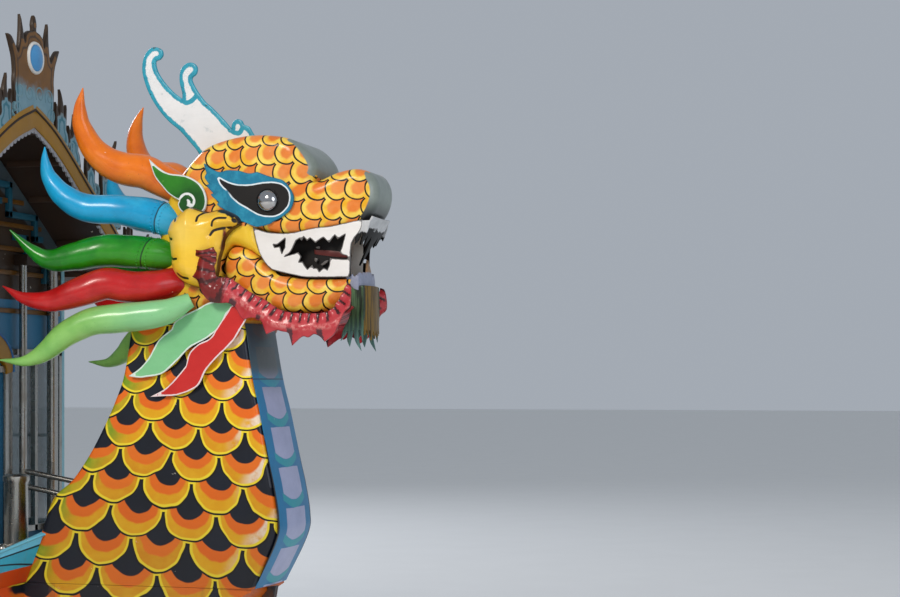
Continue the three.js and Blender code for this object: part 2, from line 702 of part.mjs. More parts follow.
// One flame of the roof's edge: its outline about the middle of its foot
function flame(y, z, height, lean) {
  const w = height * 0.2;
  const points = [
    [-1.5 * w, 0], [-1.2 * w, 0.25 * height], [-0.9 * w, 0.32 * height], [-w, 0.75 * height],
    [-0.45 * w, 0.55 * height], [lean * w, height], [0.45 * w, 0.55 * height], [w, 0.75 * height],
    [0.9 * w, 0.32 * height], [1.2 * w, 0.25 * height], [1.5 * w, 0],
  ];
  return points.map(([a, b]) => [y + a, z + b - 30]);
}

// Columns: place across, height of the flame, lean of its tip
const FLAMES = [
  { y: 0, height: 430, lean: 0 }, { y: 330, height: 330, lean: 0.6 }, { y: 620, height: 300, lean: 0.7 },
  { y: 900, height: 250, lean: 0.8 }, { y: 1180, height: 210, lean: 0.9 }, { y: 1450, height: 260, lean: 1.6 },
];

// A gable board follows the roof's edge and carries the flames
function gable(x0) {
  const board = 110;
  const upper = ROOF_LINE.map((s) => [s.y, s.z + 25]);
  const lower = ROOF_LINE.map((s) => [s.y, s.z + 25 - board - 25]).reverse();
  const left = (list) => list.map(([y, z]) => [-y, z]).reverse();
  const rim = outline([...left(upper.slice(1)), ...upper, ...lower, ...left(lower.slice(0, -1))]);
  const parts = [crossPlate(rim, x0, x0 + 30)];
  for (const f of FLAMES) {
    for (const side of f.y ? [-1, 1] : [1]) {
      const points = flame(f.y, roofUnder(f.y) + ROOF.thick + 25, f.height, f.lean);
      parts.push(crossPlate(outline(points.map(([y, z]) => [side * y, z])), x0 + 4, x0 + 26));
    }
  }
  return joined(parts);
}

// A bench along a side wall follows the deck
function bench(side) {
  const xs = [-3900, -2000, 0, 2000, 3100];
  const [y0, y1] = [side * 640, side * (CABIN.half - CABIN.wall - 20)];
  return loft(
    xs.map((x) => {
      const [low, high] = [deckTop(x) + 3, deckTop(x) + 430];
      return [[x, y0, low], [x, y0, high], [x, y1, high], [x, y1, low]];
    }),
  );
}

function helmConsole() {
  const { x, y } = WHEEL;
  const points = [[x + 60, deckTop(x + 60) + 4], [x + 60, 1640], [x + 200, 1690], [x + 340, 1690],
    [x + 340, deckTop(x + 340) + 4]];
  return sidePlate(outline(points), y - 260, y + 260);
}

function helmWheel() {
  const ring = solid(new THREE.TorusGeometry(WHEEL.radius, 14, 8, 24).rotateY(Math.PI / 2));
  const spokes = [0, 1, 2].map((i) => {
    const a = (i * Math.PI) / 3;
    const [y, z] = [WHEEL.radius * Math.cos(a), WHEEL.radius * Math.sin(a)];
    return bar([0, -y, -z], [0, y, z], 9, 8);
  });
  return joined([ring, ...spokes, bar([-22, 0, 0], [50, 0, 0], 34, 14)]);
}

// Hand rail of the fore deck: two sloping tubes between posts
function handRail() {
  const posts = [
    [4640, -1080], [4850, -890], [4985, -560],
  ].map(([x, y]) => ({ x, y, foot: deckTop(x) + 8, head: 1690 - (x - 4640) * 0.35 }));
  const parts = posts.map((p) => bar([p.x, p.y, p.foot], [p.x, p.y, p.head], 19, 8));
  for (let i = 0; i + 1 < posts.length; i++) {
    const [a, b] = [posts[i], posts[i + 1]];
    for (const drop of [0, 130, 400]) {
      parts.push(bar([a.x, a.y, a.head - drop], [b.x, b.y, b.head - drop], 16, 8));
    }
  }
  return joined(parts);
}

// Stern and drive

function engineCasing() {
  const [x0, x1, half] = [-5900, -4900, 320];
  const low = (x) => deckTop(x) + 4;
  const points = [[x0, low(x0)], [x0, 1180], [x0 + 60, 1240], [x1 - 60, 1240], [x1, 1180], [x1, low(x1)],
    [-5200, low(-5200)]];
  return sidePlate(outline(points), -half, half);
}

function propeller() {
  const { x, z, radius, hub } = PROPELLER;
  const core = bar([x - 60, 0, 0], [x + 110, 0, 0], hub, 14);
  const blades = [0, 1, 2].map((i) => {
    const shape = outline(
      [[0, 20], [-55, 60], [-78, 120], [-50, 170], [0, radius], [50, 170], [78, 120], [55, 60]], true,
    );
    const blade = sidePlate(shape, -5, 5);
    const geometry = faces(blade).rotateZ(1.05).rotateX((i * 2 * Math.PI) / 3);
    return solid(geometry.translate(x + 20, 0, 0));
  });
  return moved(joined([core, ...blades]), 0, 0, z);
}

function rudder() {
  const blade = [[-260, -60], [110, -60], [130, -150], [110, -460], [-230, -460], [-280, -200]];
  const stock = bar([0, 0, -300], [0, 0, 112], RUDDER.stock, 16);
  const stopped = stock.subtract(block(-100, 100, -100, 100, 108, 200));
  return moved(joined([sidePlate(outline(blade), -16, 16), stopped]), RUDDER.x, 0, 0);
}

// The tail rises from the stern in an S: centre line as x, y, z and radius
const TAIL = [
  [-6660, 0, 860, 150], [-6700, 0, 1130, 150], [-6830, 0, 1440, 132], [-6905, 0, 1760, 108],
  [-6860, 0, 2050, 84], [-6830, 0, 2290, 62], [-6920, 0, 2480, 42], [-7060, 0, 2570, 18],
];
// Spikes of its back, as a share of the way up it, and the plume's leaves: the way they point in degrees,
// their length, breadth and bend
const TAIL_SPIKES = { first: 0.14, last: 0.8, count: 7, length: 120 };
const TAIL_PLUME = [
  { turn: 62, length: 300, breadth: 120, bend: 0.7 }, { turn: 92, length: 360, breadth: 130, bend: 0.6 },
  { turn: 122, length: 360, breadth: 130, bend: 0.5 }, { turn: 152, length: 320, breadth: 120, bend: 0.5 },
  { turn: 186, length: 260, breadth: 110, bend: -0.5 }, { turn: 222, length: 210, breadth: 90, bend: -0.8 },
];
const LEAF_BREADTHS = [0.5, 0.85, 1, 0.95, 0.75, 0.42, 0.02];

// A curved leaf in x and z, from its root to its tip
function leaf([x, z], { turn, length, breadth, bend }) {
  const edge = (side) =>
    LEAF_BREADTHS.map((share, i) => {
      const t = i / (LEAF_BREADTHS.length - 1);
      const way = (turn * Math.PI) / 180 + bend * (t - 0.5);
      const off = (side * share * breadth) / 2;
      return [
        x + length * t * Math.cos(way) - off * Math.sin(way),
        z + length * t * Math.sin(way) + off * Math.cos(way),
      ];
    });
  return outline([...edge(-1), ...edge(1).reverse()]);
}

function dragonTail() {
  const body = tapered(TAIL, 16, 12);
  const line = new THREE.CatmullRomCurve3(TAIL.map((p) => new THREE.Vector3(...p)));
  const { first, last, count, length } = TAIL_SPIKES;
  const spikes = Array.from({ length: count }, (_, i) => {
    const share = first + ((last - first) * i) / (count - 1);
    const [at, ahead] = [line.getPoint(share), line.getTangent(share)];
    const turn = (Math.atan2(ahead.z, ahead.x) * 180) / Math.PI + 62;
    const reach = length + 150 * (1 - share);
    return sidePlate(leaf([at.x, at.z], { turn, length: reach, breadth: 110, bend: -0.5 }), -10, 10);
  });
  const [rootX, , rootZ] = TAIL[TAIL.length - 2];
  const plume = TAIL_PLUME.map((part) => sidePlate(leaf([rootX - 60, rootZ + 30], part), -12, 12));
  const low = deckTop(-6790) + 2;
  return joined([body, ...spikes, ...plume, block(-6790, -6540, -110, 110, low, low + 130)]);
}

// Assembly

const boat = new THREE.Group();
const figurehead = new THREE.Group();
figurehead.position.set(EYE.x, 0, EYE.z);
boat.add(figurehead);

function add(name, body, finish, group = boat) {
  const [color, roughness, metalness] = FINISH[finish];
  const material = new THREE.MeshStandardMaterial({ color, roughness, metalness });
  const mesh = new THREE.Mesh(faces(body), material);
  mesh.name = name;
  group.add(mesh);
}

// The same piece on both sides, made for starboard
function addPair(name, body, finish, group = boat) {
  add(name + "_starboard", body, finish, group);
  add(name + "_port", mirrored(body), finish, group);
}

add("hull", hull(), "hull");
add("deck", deck(), "deck");
add("bulwark", bulwark(), "strake");
add("rub_rail", rubRail(), "cream");
add("stem_and_keel", stemAndKeel(), "iron");
add("bitt_fore", bitt(4870), "iron");
add("bitt_aft", bitt(-6350), "iron");

add("neck", neck(), "scales");
add("neck_belly", neckBelly(), "belly");
add("skull", headBlock(SKULL), "gold", figurehead);
add("lower_jaw", lowerJaw(), "gold", figurehead);
add("upper_teeth", upperTeeth(), "black", figurehead);
add("lower_teeth", lowerTeeth(), "black", figurehead);
add("beard", beard(), "beard", figurehead);
add("chin_ruffle", chinRuffle(), "ruffle", figurehead);
addPair("mouth_plate", mouthPlate(), "white", figurehead);
add("horn", horn(), "white", figurehead);
addPair("cheek", cheek(), "gold", figurehead);
addPair("ear", ear(), "green", figurehead);
addPair("eye", eye(), "steel", figurehead);
addPair("cheek_leaves", leaves(), "mint", figurehead);
for (const colour of Object.keys(MANE)) addPair("mane_" + colour, tentacle(colour), colour);

addPair("cabin_side", cabinSide(), "cabin");
addPair("cabin_glass", cabinGlass(), "glass");
add("bulkhead_fore", bulkhead(CABIN.fore - CABIN.wall, CABIN.fore), "cabin");
add("bulkhead_aft", bulkhead(CABIN.aft, CABIN.aft + CABIN.wall), "cabin");
add("door_fore", door(CABIN.fore - CABIN.wall - 8 - DOOR.thick), "cabin");
add("door_aft", door(CABIN.aft + CABIN.wall + 8), "cabin");
add("roof", roof(), "roof");
add("gable_fore", gable(ROOF.fore + GAP), "fascia");
add("gable_aft", gable(ROOF.aft - 30 - GAP), "fascia");
add("bench_starboard", bench(-1), "seat");
add("bench_port", bench(1), "seat");
add("helm_console", helmConsole(), "cabin");
const helm = new THREE.Group();
helm.position.set(WHEEL.x, WHEEL.y, WHEEL.z);
helm.rotation.y = 0.35;
boat.add(helm);
add("helm_wheel", helmWheel(), "steel", helm);
addPair("hand_rail", handRail(), "steel");

add("engine_casing", engineCasing(), "engine");
add("propeller", propeller(), "bronze");
add("rudder", rudder(), "iron");
add("dragon_tail", dragonTail(), "gold");

export default boat;
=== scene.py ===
# River tour boat with a painted dragon head: paint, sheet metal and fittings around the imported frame.
import math

import bmesh
import bpy
import numpy as np
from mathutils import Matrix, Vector, geometry


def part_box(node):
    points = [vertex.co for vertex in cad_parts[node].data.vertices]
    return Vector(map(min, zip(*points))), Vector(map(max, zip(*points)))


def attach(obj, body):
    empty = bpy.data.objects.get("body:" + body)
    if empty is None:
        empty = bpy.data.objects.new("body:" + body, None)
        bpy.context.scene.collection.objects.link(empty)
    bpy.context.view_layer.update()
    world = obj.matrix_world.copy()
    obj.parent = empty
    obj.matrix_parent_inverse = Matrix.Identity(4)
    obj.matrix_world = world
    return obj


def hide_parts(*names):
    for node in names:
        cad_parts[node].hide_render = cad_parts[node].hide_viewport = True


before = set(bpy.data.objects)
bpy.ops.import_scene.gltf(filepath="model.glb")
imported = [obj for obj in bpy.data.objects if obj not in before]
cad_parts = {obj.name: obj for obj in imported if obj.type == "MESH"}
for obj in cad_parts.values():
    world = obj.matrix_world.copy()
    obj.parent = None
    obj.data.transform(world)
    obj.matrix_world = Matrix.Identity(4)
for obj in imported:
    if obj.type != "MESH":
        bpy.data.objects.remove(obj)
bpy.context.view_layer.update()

# Places and sizes, in metres
EYE = np.array([6.5, 0.0, 3.0])  # the height and place of the eyes, on the centreline
NECK_SCALE = {"width": 0.270, "pitch": 0.1434}  # at the height of one scale's tip, NECK_TIP
NECK_TIP = (6.096, 1.810)
NECK_GROWTH = 0.30  # how much larger the scales are for each metre further down
HEAD_SCALE = {"width": 0.124, "pitch": 0.078}
HULL_SCALE = {"width": 0.34, "pitch": 0.19}
HEAD_EDGE = 0.055  # how far the head's sheet edges are rounded
HEAD_STEP = 0.010  # between the points of the head's outline
BARE_WIDTH = 0.036  # of the strip without scales behind the head's forward edge
SIDES = (-1, 1)

# The view: a long lens, held level, with its frame shifted up
LENS = 76.0
VIEW_TURN = 15.6
VIEW_PLACE = (10.11, -9.63, 2.056)
VIEW_SHIFT = 0.0906


# Paint shop: node trees written as sums


def rgb(code):
    """A screen colour such as e9a51e as a linear colour."""
    parts = [int(code[i : i + 2], 16) / 255 for i in (0, 2, 4)]
    return tuple(p / 12.92 if p <= 0.04045 else ((p + 0.055) / 1.055) ** 2.4 for p in parts)


def sum_of(operation, swapped=False):
    """A method of Value that adds one step of arithmetic to its paint."""

    def method(self, other=None):
        values = (self,) if other is None else (other, self) if swapped else (self, other)
        return self.paint.math(operation, *values)

    return method


class Value:
    """A socket of a paint's node tree that takes part in sums."""

    def __init__(self, paint, socket):
        self.paint = paint
        self.socket = socket

    __add__ = __radd__ = sum_of("ADD")
    __mul__ = __rmul__ = sum_of("MULTIPLY")
    __sub__, __rsub__ = sum_of("SUBTRACT"), sum_of("SUBTRACT", swapped=True)
    __truediv__, __rtruediv__ = sum_of("DIVIDE"), sum_of("DIVIDE", swapped=True)
    __pow__, __lt__, __gt__ = sum_of("POWER"), sum_of("LESS_THAN"), sum_of("GREATER_THAN")
    floor, part, size = sum_of("FLOOR"), sum_of("FRACT"), sum_of("ABSOLUTE")
    root, wave = sum_of("SQRT"), sum_of("SINE")
    least, most = sum_of("MINIMUM"), sum_of("MAXIMUM")

    def step(self, edge, soft=0.002):
        """0 below an edge and 1 above it, with a soft change between."""
        limits = {"Value": self, "From Min": edge - soft, "From Max": edge + soft}
        return self.paint.node("ShaderNodeMapRange", limits, interpolation_type="SMOOTHSTEP")

    def below(self, edge, soft=0.002):
        """1 below an edge and 0 above it."""
        return 1 - self.step(edge, soft)

    def band(self, low, high, soft=0.002):
        """1 between two edges."""
        return self.step(low, soft) * self.below(high, soft)

    def fold(self):
        """Distance from the middle of each whole step, 0 to 0.5."""
        return (self.part() - 0.5).size()


COORDINATES = {"place": 3, "facing": 1}  # outputs of the texture coordinate node


class Paint:
    """One finish: a material whose colours, gloss and relief are sums of patterns."""

    def __init__(self, name):
        self.material = bpy.data.materials.new(name)
        self.material.use_nodes = True
        self.tree = self.material.node_tree
        self.tree.nodes.clear()
        self.kept = {}

    def join(self, socket, value):
        """Gives a socket another one's value, a number, or a colour such as e9a51e."""
        value = rgb(value) if isinstance(value, str) else value
        if isinstance(value, Value):
            self.tree.links.new(value.socket, socket)
        elif socket.type == "RGBA":
            socket.default_value = (*value, 1)
        else:
            socket.default_value = value

    def node(self, kind, inputs=None, output=0, **settings):
        made = self.tree.nodes.new(kind)
        for key, value in settings.items():
            setattr(made, key, value)
        for key, value in (inputs or {}).items():
            self.join(made.inputs[key], value)
        return Value(self, made.outputs[output])

    def math(self, operation, *values):
        return self.node("ShaderNodeMath", dict(enumerate(values)), operation=operation)

    def coordinates(self, kind):
        """One kind of texture coordinate and its x, y and z, made once for a paint."""
        if kind not in self.kept:
            whole = self.node("ShaderNodeTexCoord", output=COORDINATES[kind])
            split = self.node("ShaderNodeSeparateXYZ", {0: whole}).socket.node
            self.kept[kind] = whole, [Value(self, s) for s in split.outputs]
        return self.kept[kind]

    def place(self):
        """The point's x, y and z in the boat's frame."""
        return self.coordinates("place")[1]

    def facing(self):
        """The direction that the surface faces, as x, y and z."""
        return self.coordinates("facing")[1]

    def spot(self):
        """The point's place as one vector."""
        return self.coordinates("place")[0]

    def attribute(self, name):
        return self.node("ShaderNodeAttribute", output=2, attribute_name=name)

    def noise(self, scale, detail=3.0, rough=0.55, stretch=None):
        spot = self.spot()
        if stretch:
            spot = self.node("ShaderNodeVectorMath", {0: spot, 1: stretch}, operation="MULTIPLY")
        values = {"Vector": spot, "Scale": scale, "Detail": detail, "Roughness": rough}
        return self.node("ShaderNodeTexNoise", values)

    def cells(self, scale):
        return self.node("ShaderNodeTexVoronoi", {"Vector": self.spot(), "Scale": scale}, feature="F1")

    def chance(self, x, y=0.0):
        """A number between 0 and 1 that depends on two values alone."""
        both_values = self.node("ShaderNodeCombineXYZ", {0: x, 1: y, 2: 0.0})
        return self.node("ShaderNodeTexWhiteNoise", {"Vector": both_values})

    def mix(self, share, under, over):
        """A colour under another one that covers a share of it."""
        return self.node("ShaderNodeMix", {0: share, 6: under, 7: over}, 2, data_type="RGBA")

    def tones(self, low, high, scale, detail=3.0, rough=0.55, **rest):
        """A colour that wanders between two others."""
        return self.mix(self.noise(scale, detail, rough, **rest), low, high)

    def blend(self, share, low, high):
        """A number between two."""
        return self.node("ShaderNodeMix", {0: share, 2: low, 3: high})

    def shade(self, colour, light):
        """A colour made lighter or darker: 1 leaves it as it is."""
        return self.node("ShaderNodeVectorMath", {0: colour, "Scale": light}, operation="SCALE")

    def relief(self, height, strength=0.4, distance=0.002):
        return self.node("ShaderNodeBump", {"Height": height, "Strength": strength, "Distance": distance})

    def done(self, colour, roughness=0.4, metallic=0.0, relief=None, coat=0.0, **constants):
        """Puts the shader at the end of the tree; constants set its other sockets."""
        inputs = {"Base Color": colour, "Roughness": roughness, "Metallic": metallic, "Coat Weight": coat}
        inputs.update({key.replace("_", " "): value for key, value in constants.items()})
        if relief is not None:
            inputs["Normal"] = relief
        shader = self.node("ShaderNodeBsdfPrincipled", inputs)
        end = self.tree.nodes.new("ShaderNodeOutputMaterial")
        self.tree.links.new(shader.socket, end.inputs["Surface"])
        return self.material


DUST = "8d8371"
PRIMER = "d9d3c8"


def enamel(paint, colour, gloss=0.34, wear=0.5, coat=0.2, dents=0.4):
    """Brushed enamel on sheet steel: uneven tone, dust, small chips down to the primer, shallow dents."""
    tone = paint.noise(2.2, 4.0, 0.6)
    fine = paint.noise(38.0, 3.0, 0.6)
    strokes = paint.noise(9.0, 4.0, 0.7, stretch=(1.0, 1.0, 4.0))
    light = 0.84 + tone * 0.2 + strokes * 0.12
    body = paint.shade(colour, light)
    _, _, up = paint.facing()
    dust = (paint.noise(5.5, 5.0, 0.65) * 0.8 + up * 0.25).step(0.66, 0.22) * 0.10 * wear
    body = paint.mix(dust, body, DUST)
    spot = paint.noise(22.0, 6.0, 0.62)
    chip = spot.step(0.735 - 0.02 * wear, 0.008) * wear
    body = paint.mix(chip, body, PRIMER)
    roughness = gloss + fine * 0.12 + dust * 1.2 + chip * 0.3
    swell = paint.noise(3.2, 2.0, 0.5) * dents * 6 + fine * 0.25 - chip * 0.5
    return paint.done(body, roughness, relief=paint.relief(swell, 0.35, 0.0025), coat=coat,
                      Coat_Roughness=0.18, Specular_IOR_Level=0.3)


def scale_spots(paint, across, along, width, pitch, waver=0.05):
    """Overlapping scales whose tips point along: where a point is on the scale that shows there.

    Gives x and z from the scale's centre in radii, z towards the tip, whether it is the lower part, and
    a chance number of the scale."""
    soft = paint.noise(5.0, 2.0)
    across = across + (soft - 0.5) * width * waver * 4
    along = along + (paint.noise(4.0, 2.0) - 0.5) * width * waver * 4
    row = (along / pitch).floor()
    below = along - row * pitch
    shift = (row * 0.5).part()
    columns = [across / width + s for s in (shift, 0.5 - shift)]
    reach = [(c.part() - 0.5) * 2 for c in columns]
    deep = below * (2 / width)
    lower = (reach[0] * reach[0] + deep * deep).root() < 1
    x = paint.blend(lower, reach[1], reach[0])
    z = paint.blend(lower, deep - 2 * pitch / width, deep)
    own = paint.blend(lower, columns[1].floor(), columns[0].floor())
    return x, z, lower, paint.chance(own, row - lower)


def scrolls(paint, across, along, size):
    """Traditional cloud scrolls: spirals in staggered cells, 0 on their white lines and 0.5 between them."""
    row = (along / size).floor()
    shifted = across / size + (row * 0.5).part()
    dx, dz = shifted - shifted.floor() - 0.5, along / size - row - 0.5
    turn = paint.math("ARCTAN2", dz, dx) / (2 * math.pi)
    return ((dx * dx + dz * dz).root() * 3.2 - turn).fold()


def ring(x, z, rise):
    """Distance from a centre that stands rise radii above a scale's own, straight above it."""
    drop = (z + rise).most(0.0)
    return (x * x + drop * drop).root()


def neck_pattern(paint, faded=0.0):
    """Big scales of the neck: navy heart, orange band, golden body, lemon rim, thin black line; a painted
    highlight by the fore edge and painted shade lower down.
    """
    x0, _, z0 = paint.place()
    tilt = math.radians(4.5)
    ahead, down = x0 - NECK_TIP[0], NECK_TIP[1] - z0
    low = down * math.cos(tilt) - ahead * math.sin(tilt)
    size = 1 + low * NECK_GROWTH
    across = (ahead * math.cos(tilt) + down * math.sin(tilt)) / size + NECK_SCALE["width"] / 2
    along = paint.math("LOGARITHM", size, math.e) / NECK_GROWTH + NECK_SCALE["width"] / 2
    x, z, lower, own = scale_spots(paint, across, along, **NECK_SCALE)
    reach = (x * x + z * z).root()
    smear = (paint.noise(16.0, 4.0, 0.6) - 0.5) * 0.12
    gold = paint.mix(own, "f0ae0a", "e09406")
    aft = paint.attribute("aft_gap")
    fore = paint.attribute("fore_gap")
    streak = paint.noise(12.0, 4.0, 0.6)
    left = (0.1 - x).step(0.0, 0.5)
    green = aft.below(0.13, 0.10) * (ring(x, z, 0.25) + smear).step(0.66, 0.12)
    colour = paint.mix(green * 0.95 * (0.55 + left * 0.45), gold, "6f9d1c")
    # Painted highlight: near-white streaks on the upper front of the scales next to the fore edge.
    light = fore.below(0.16, 0.09) * (x + z * 0.5).step(0.35, 0.25) * streak.step(0.42, 0.12)
    colour = paint.mix(light * 0.9, colour, "f6e6da")
    glow = streak.step(0.52, 0.16) * 0.25
    colour = paint.mix(glow, colour, "f4cf2c")
    orange = paint.mix(own * 0.5, "ee6d12", "f08325")
    shown = 1 - faded
    colour = paint.mix((ring(x, z, 0.28) + smear).below(0.79, 0.05) * (shown * 0.7 + 0.3), colour, orange)
    colour = paint.mix((reach + smear * 0.3).step(0.855, 0.02), colour, "fde232")
    navy = paint.tones("08090c", "1a2132", 3.0, 3.0)
    heart = (ring(x, z, 0.45) + smear * 0.25).below(0.60, 0.02)
    colour = paint.mix(heart * (shown * 0.6 + 0.4), colour, navy)
    cusp = (1 - lower) * (z + 0.9).below(0.0, 0.10) * x.size().below(0.62, 0.05)
    colour = paint.mix(cusp * shown, colour, navy)
    colour = paint.mix(lower * reach.step(0.935, 0.010), colour, "0b0a0a")
    # Painted shade: the whole pattern gets darker towards the bottom, down to 0.62 of its colour below 0.9 m,
    # on the neck and on the hull's fore foot.
    return paint.shade(colour, 0.62 + z0.step(1.6, 0.7) * 0.38)


def neck_scales():
    paint = Paint("neck_scales")
    return enamel(paint, neck_pattern(paint), gloss=0.3, wear=0.45, coat=0.15)


def head_scales():
    """Small scales of the head: orange heart, yellow rim, black line; the front stays bare grey-green."""
    paint = Paint("head_scales")
    across = paint.attribute("across")
    along = paint.attribute("along")
    x, z, lower, own = scale_spots(paint, across, along, waver=0.09, **HEAD_SCALE)
    reach = (x * x + z * z).root()
    smear = (paint.noise(40.0, 4.0, 0.6) - 0.5) * 0.2
    rim = paint.mix(paint.noise(14.0, 3.0).step(0.5, 0.2), "eeb018", "f7d65c")
    heart = paint.mix(own, "e4761a", "ee9040")
    heart = paint.mix(paint.noise(11.0, 3.0).step(0.56, 0.14) * 0.5, heart, "f0a05a")
    body = paint.mix((ring(x, z, 0.05) + smear).below(0.53, 0.13), rim, heart)
    body = paint.mix(lower * reach.step(0.865, 0.015), body, "120d0b")
    bare = paint.tones("5d6a62", "9aa29a", 6.0, 5.0, 0.6)
    _, _, high = paint.place()
    bare = paint.mix(high.below(2.96, 0.06), bare, "17181a")
    front = paint.attribute("front")
    body = paint.mix(front.step(0.5, 0.1), body, bare)
    smooth_gold = paint.tones("e9b11a", "f2cf3a", 8.0, 3.0)
    body = paint.mix(paint.attribute("plain").step(0.0, 0.004), body, smooth_gold)
    return enamel(paint, body, gloss=0.28, wear=0.35, coat=0.25)


# Shapes: outlines in millimetres from the eye, filled and raised into sheet metal


def spline(points, step=0.008, closed=True):
    """A smooth line through points in millimetres; a point with a third value is a corner."""
    spots = [np.array(p[:2], float) / 1000 for p in points]
    sharp = [len(p) > 2 for p in points]
    count = len(spots)
    line = []
    for i in range(count if closed else count - 1):
        j = (i + 1) % count
        a, b = spots[i], spots[j]
        open_start = sharp[i] or not (closed or i)
        open_end = sharp[j] or not (closed or i + 2 < count)
        before = 2 * a - b if open_start else spots[i - 1]
        after = 2 * b - a if open_end else spots[(i + 2) % count]
        steps = max(1, round(float(np.linalg.norm(b - a)) / step))
        for t in np.arange(steps) / steps:
            square = (2 * before - 5 * a + 4 * b - after) * t * t
            line.append(0.5 * (2 * a + (b - before) * t + square + (3 * a - before - 3 * b + after) * t**3))
    if not closed:
        line.append(spots[-1])
    return np.array(line)


def gap(spots, line, closed=True):
    """How far each spot is from a line."""
    starts = line if closed else line[:-1]
    ends = np.roll(line, -1, axis=0) if closed else line[1:]
    way = ends - starts
    length = np.maximum((way**2).sum(1), 1e-12)
    least = np.full(len(spots), 1e9)
    for k in range(0, len(spots), 4000):
        some = spots[k : k + 4000, None]
        share = np.clip(((some - starts) * way).sum(2) / length, 0, 1)
        near = starts + share[..., None] * way
        least[k : k + 4000] = np.sqrt(((some - near) ** 2).sum(2).min(1))
    return least


def inside(spots, line):
    """Whether each spot is inside a closed line."""
    ends = np.roll(line, -1, axis=0)
    found = np.zeros(len(spots), bool)
    for (x0, z0), (x1, z1) in zip(line, ends):
        if z0 == z1:
            continue
        crosses = (z0 > spots[:, 1]) != (z1 > spots[:, 1])
        found ^= crosses & (spots[:, 0] < (x1 - x0) * (spots[:, 1] - z0) / (z1 - z0) + x0)
    return found


def depth(spots, line):
    """How deep each spot is inside a closed line, and below zero how far outside."""
    return np.where(inside(spots, line), 1, -1) * gap(spots, line)


def quarter(deep, reach):
    """From 0 at an edge to 1 at a distance from it, along a quarter circle."""
    return np.sqrt(1 - (1 - np.clip(deep / reach, 0, 1)) ** 2)


def fill(line, holes=(), grid=0.012, rounded=0.0):
    """Spots and triangles that fill a closed line, the spots' depths, and the loops round line and holes."""
    loops = [line, *holes]
    reaches = [rounded * (1 - math.cos(math.radians(a))) for a in (28, 56, 84)] if rounded else []
    extra = []
    for loop in loops:
        way = np.roll(loop, -1, axis=0) - np.roll(loop, 1, axis=0)
        aside = np.stack([-way[:, 1], way[:, 0]], 1)
        aside /= np.maximum(np.linalg.norm(aside, axis=1), 1e-9)[:, None]
        extra += [(loop + side * r * aside, r) for r in reaches for side in (1, -1)]
    lo, hi = line.min(0), line.max(0)
    xs = np.arange(lo[0], hi[0], grid)
    rows = [
        np.stack([xs + (k % 2) * grid / 2, np.full(len(xs), z)], 1)
        for k, z in enumerate(np.arange(lo[1], hi[1], grid * 0.87))
    ]
    spots = np.vstack([*rows, *[e for e, _ in extra]])
    wanted = np.concatenate([np.zeros(sum(map(len, rows))), *[np.full(len(e), r) for e, r in extra]])
    deep = np.min([gap(spots, loop) for loop in loops], axis=0)
    held = inside(spots, line)
    for hole in holes:
        held &= ~inside(spots, hole)
    start = max([*reaches, 0.0]) + grid * 0.55
    held &= np.where(wanted > 0, np.abs(deep - wanted) < 0.06 * wanted, deep > start)
    inner = spots[held]
    edge = np.vstack(loops)
    ties = []
    first = 0
    for loop in loops:
        ties += [(first + i, first + (i + 1) % len(loop)) for i in range(len(loop))]
        first += len(loop)
    every = np.vstack([edge, inner])
    found = geometry.delaunay_2d_cdt([Vector(p) for p in every], ties, [], 1, 1e-7)
    spots = np.array([tuple(p) for p in found[0]])
    faces = np.array([tuple(f) for f in found[2] if len(f) == 3])
    middle = spots[faces].mean(1)
    kept = inside(middle, line)
    for hole in holes:
        kept &= ~inside(middle, hole)
    where = {}
    for new, old in enumerate(found[3]):
        for o in old:
            where[o] = new
    rounds = []
    first = 0
    for loop in loops:
        rounds.append([where[first + i] for i in range(len(loop))])
        first += len(loop)
    deep = np.min([gap(spots, loop) for loop in loops], axis=0)
    return spots, faces[kept], deep, rounds


def slab(line, near, far, holes=(), grid=0.012, rounded=0.0, wall=1):
    """Sheet metal between two faces over a closed line; near and far are y, or give it from spots and depths.

    Gives the places, the faces, each vertex's spot and depth, and how far it is along the wall, 0 to 1."""
    spots, faces, deep, rounds = fill(line, holes, grid, rounded)
    y_near, y_far = (f(spots, deep) if callable(f) else np.full(len(spots), f) for f in (near, far))
    front = np.stack([spots[:, 0], y_near, spots[:, 1]], 1)
    back = np.stack([spots[:, 0], y_far, spots[:, 1]], 1)
    count = len(spots)
    places = [front, back]
    faces = [tuple(f) for f in faces] + [tuple(count + i for i in reversed(f)) for f in faces]
    flat = [spots, spots]
    deeps = [deep, deep]
    walls = [np.zeros(count), np.ones(count)]
    first = 2 * count
    for loop in rounds:
        rows = [list(loop)]
        for k in range(1, wall):
            share = k / wall
            places.append(front[loop] * (1 - share) + back[loop] * share)
            flat.append(spots[loop])
            deeps.append(np.zeros(len(loop)))
            walls.append(np.full(len(loop), share))
            rows.append([first + i for i in range(len(loop))])
            first += len(loop)
        rows.append([count + i for i in loop])
        for upper, lower in zip(rows, rows[1:]):
            for i in range(len(loop)):
                j = (i + 1) % len(loop)
                faces.append((upper[i], upper[j], lower[j], lower[i]))
    return np.vstack(places), faces, np.vstack(flat), np.concatenate(deeps), np.concatenate(walls)


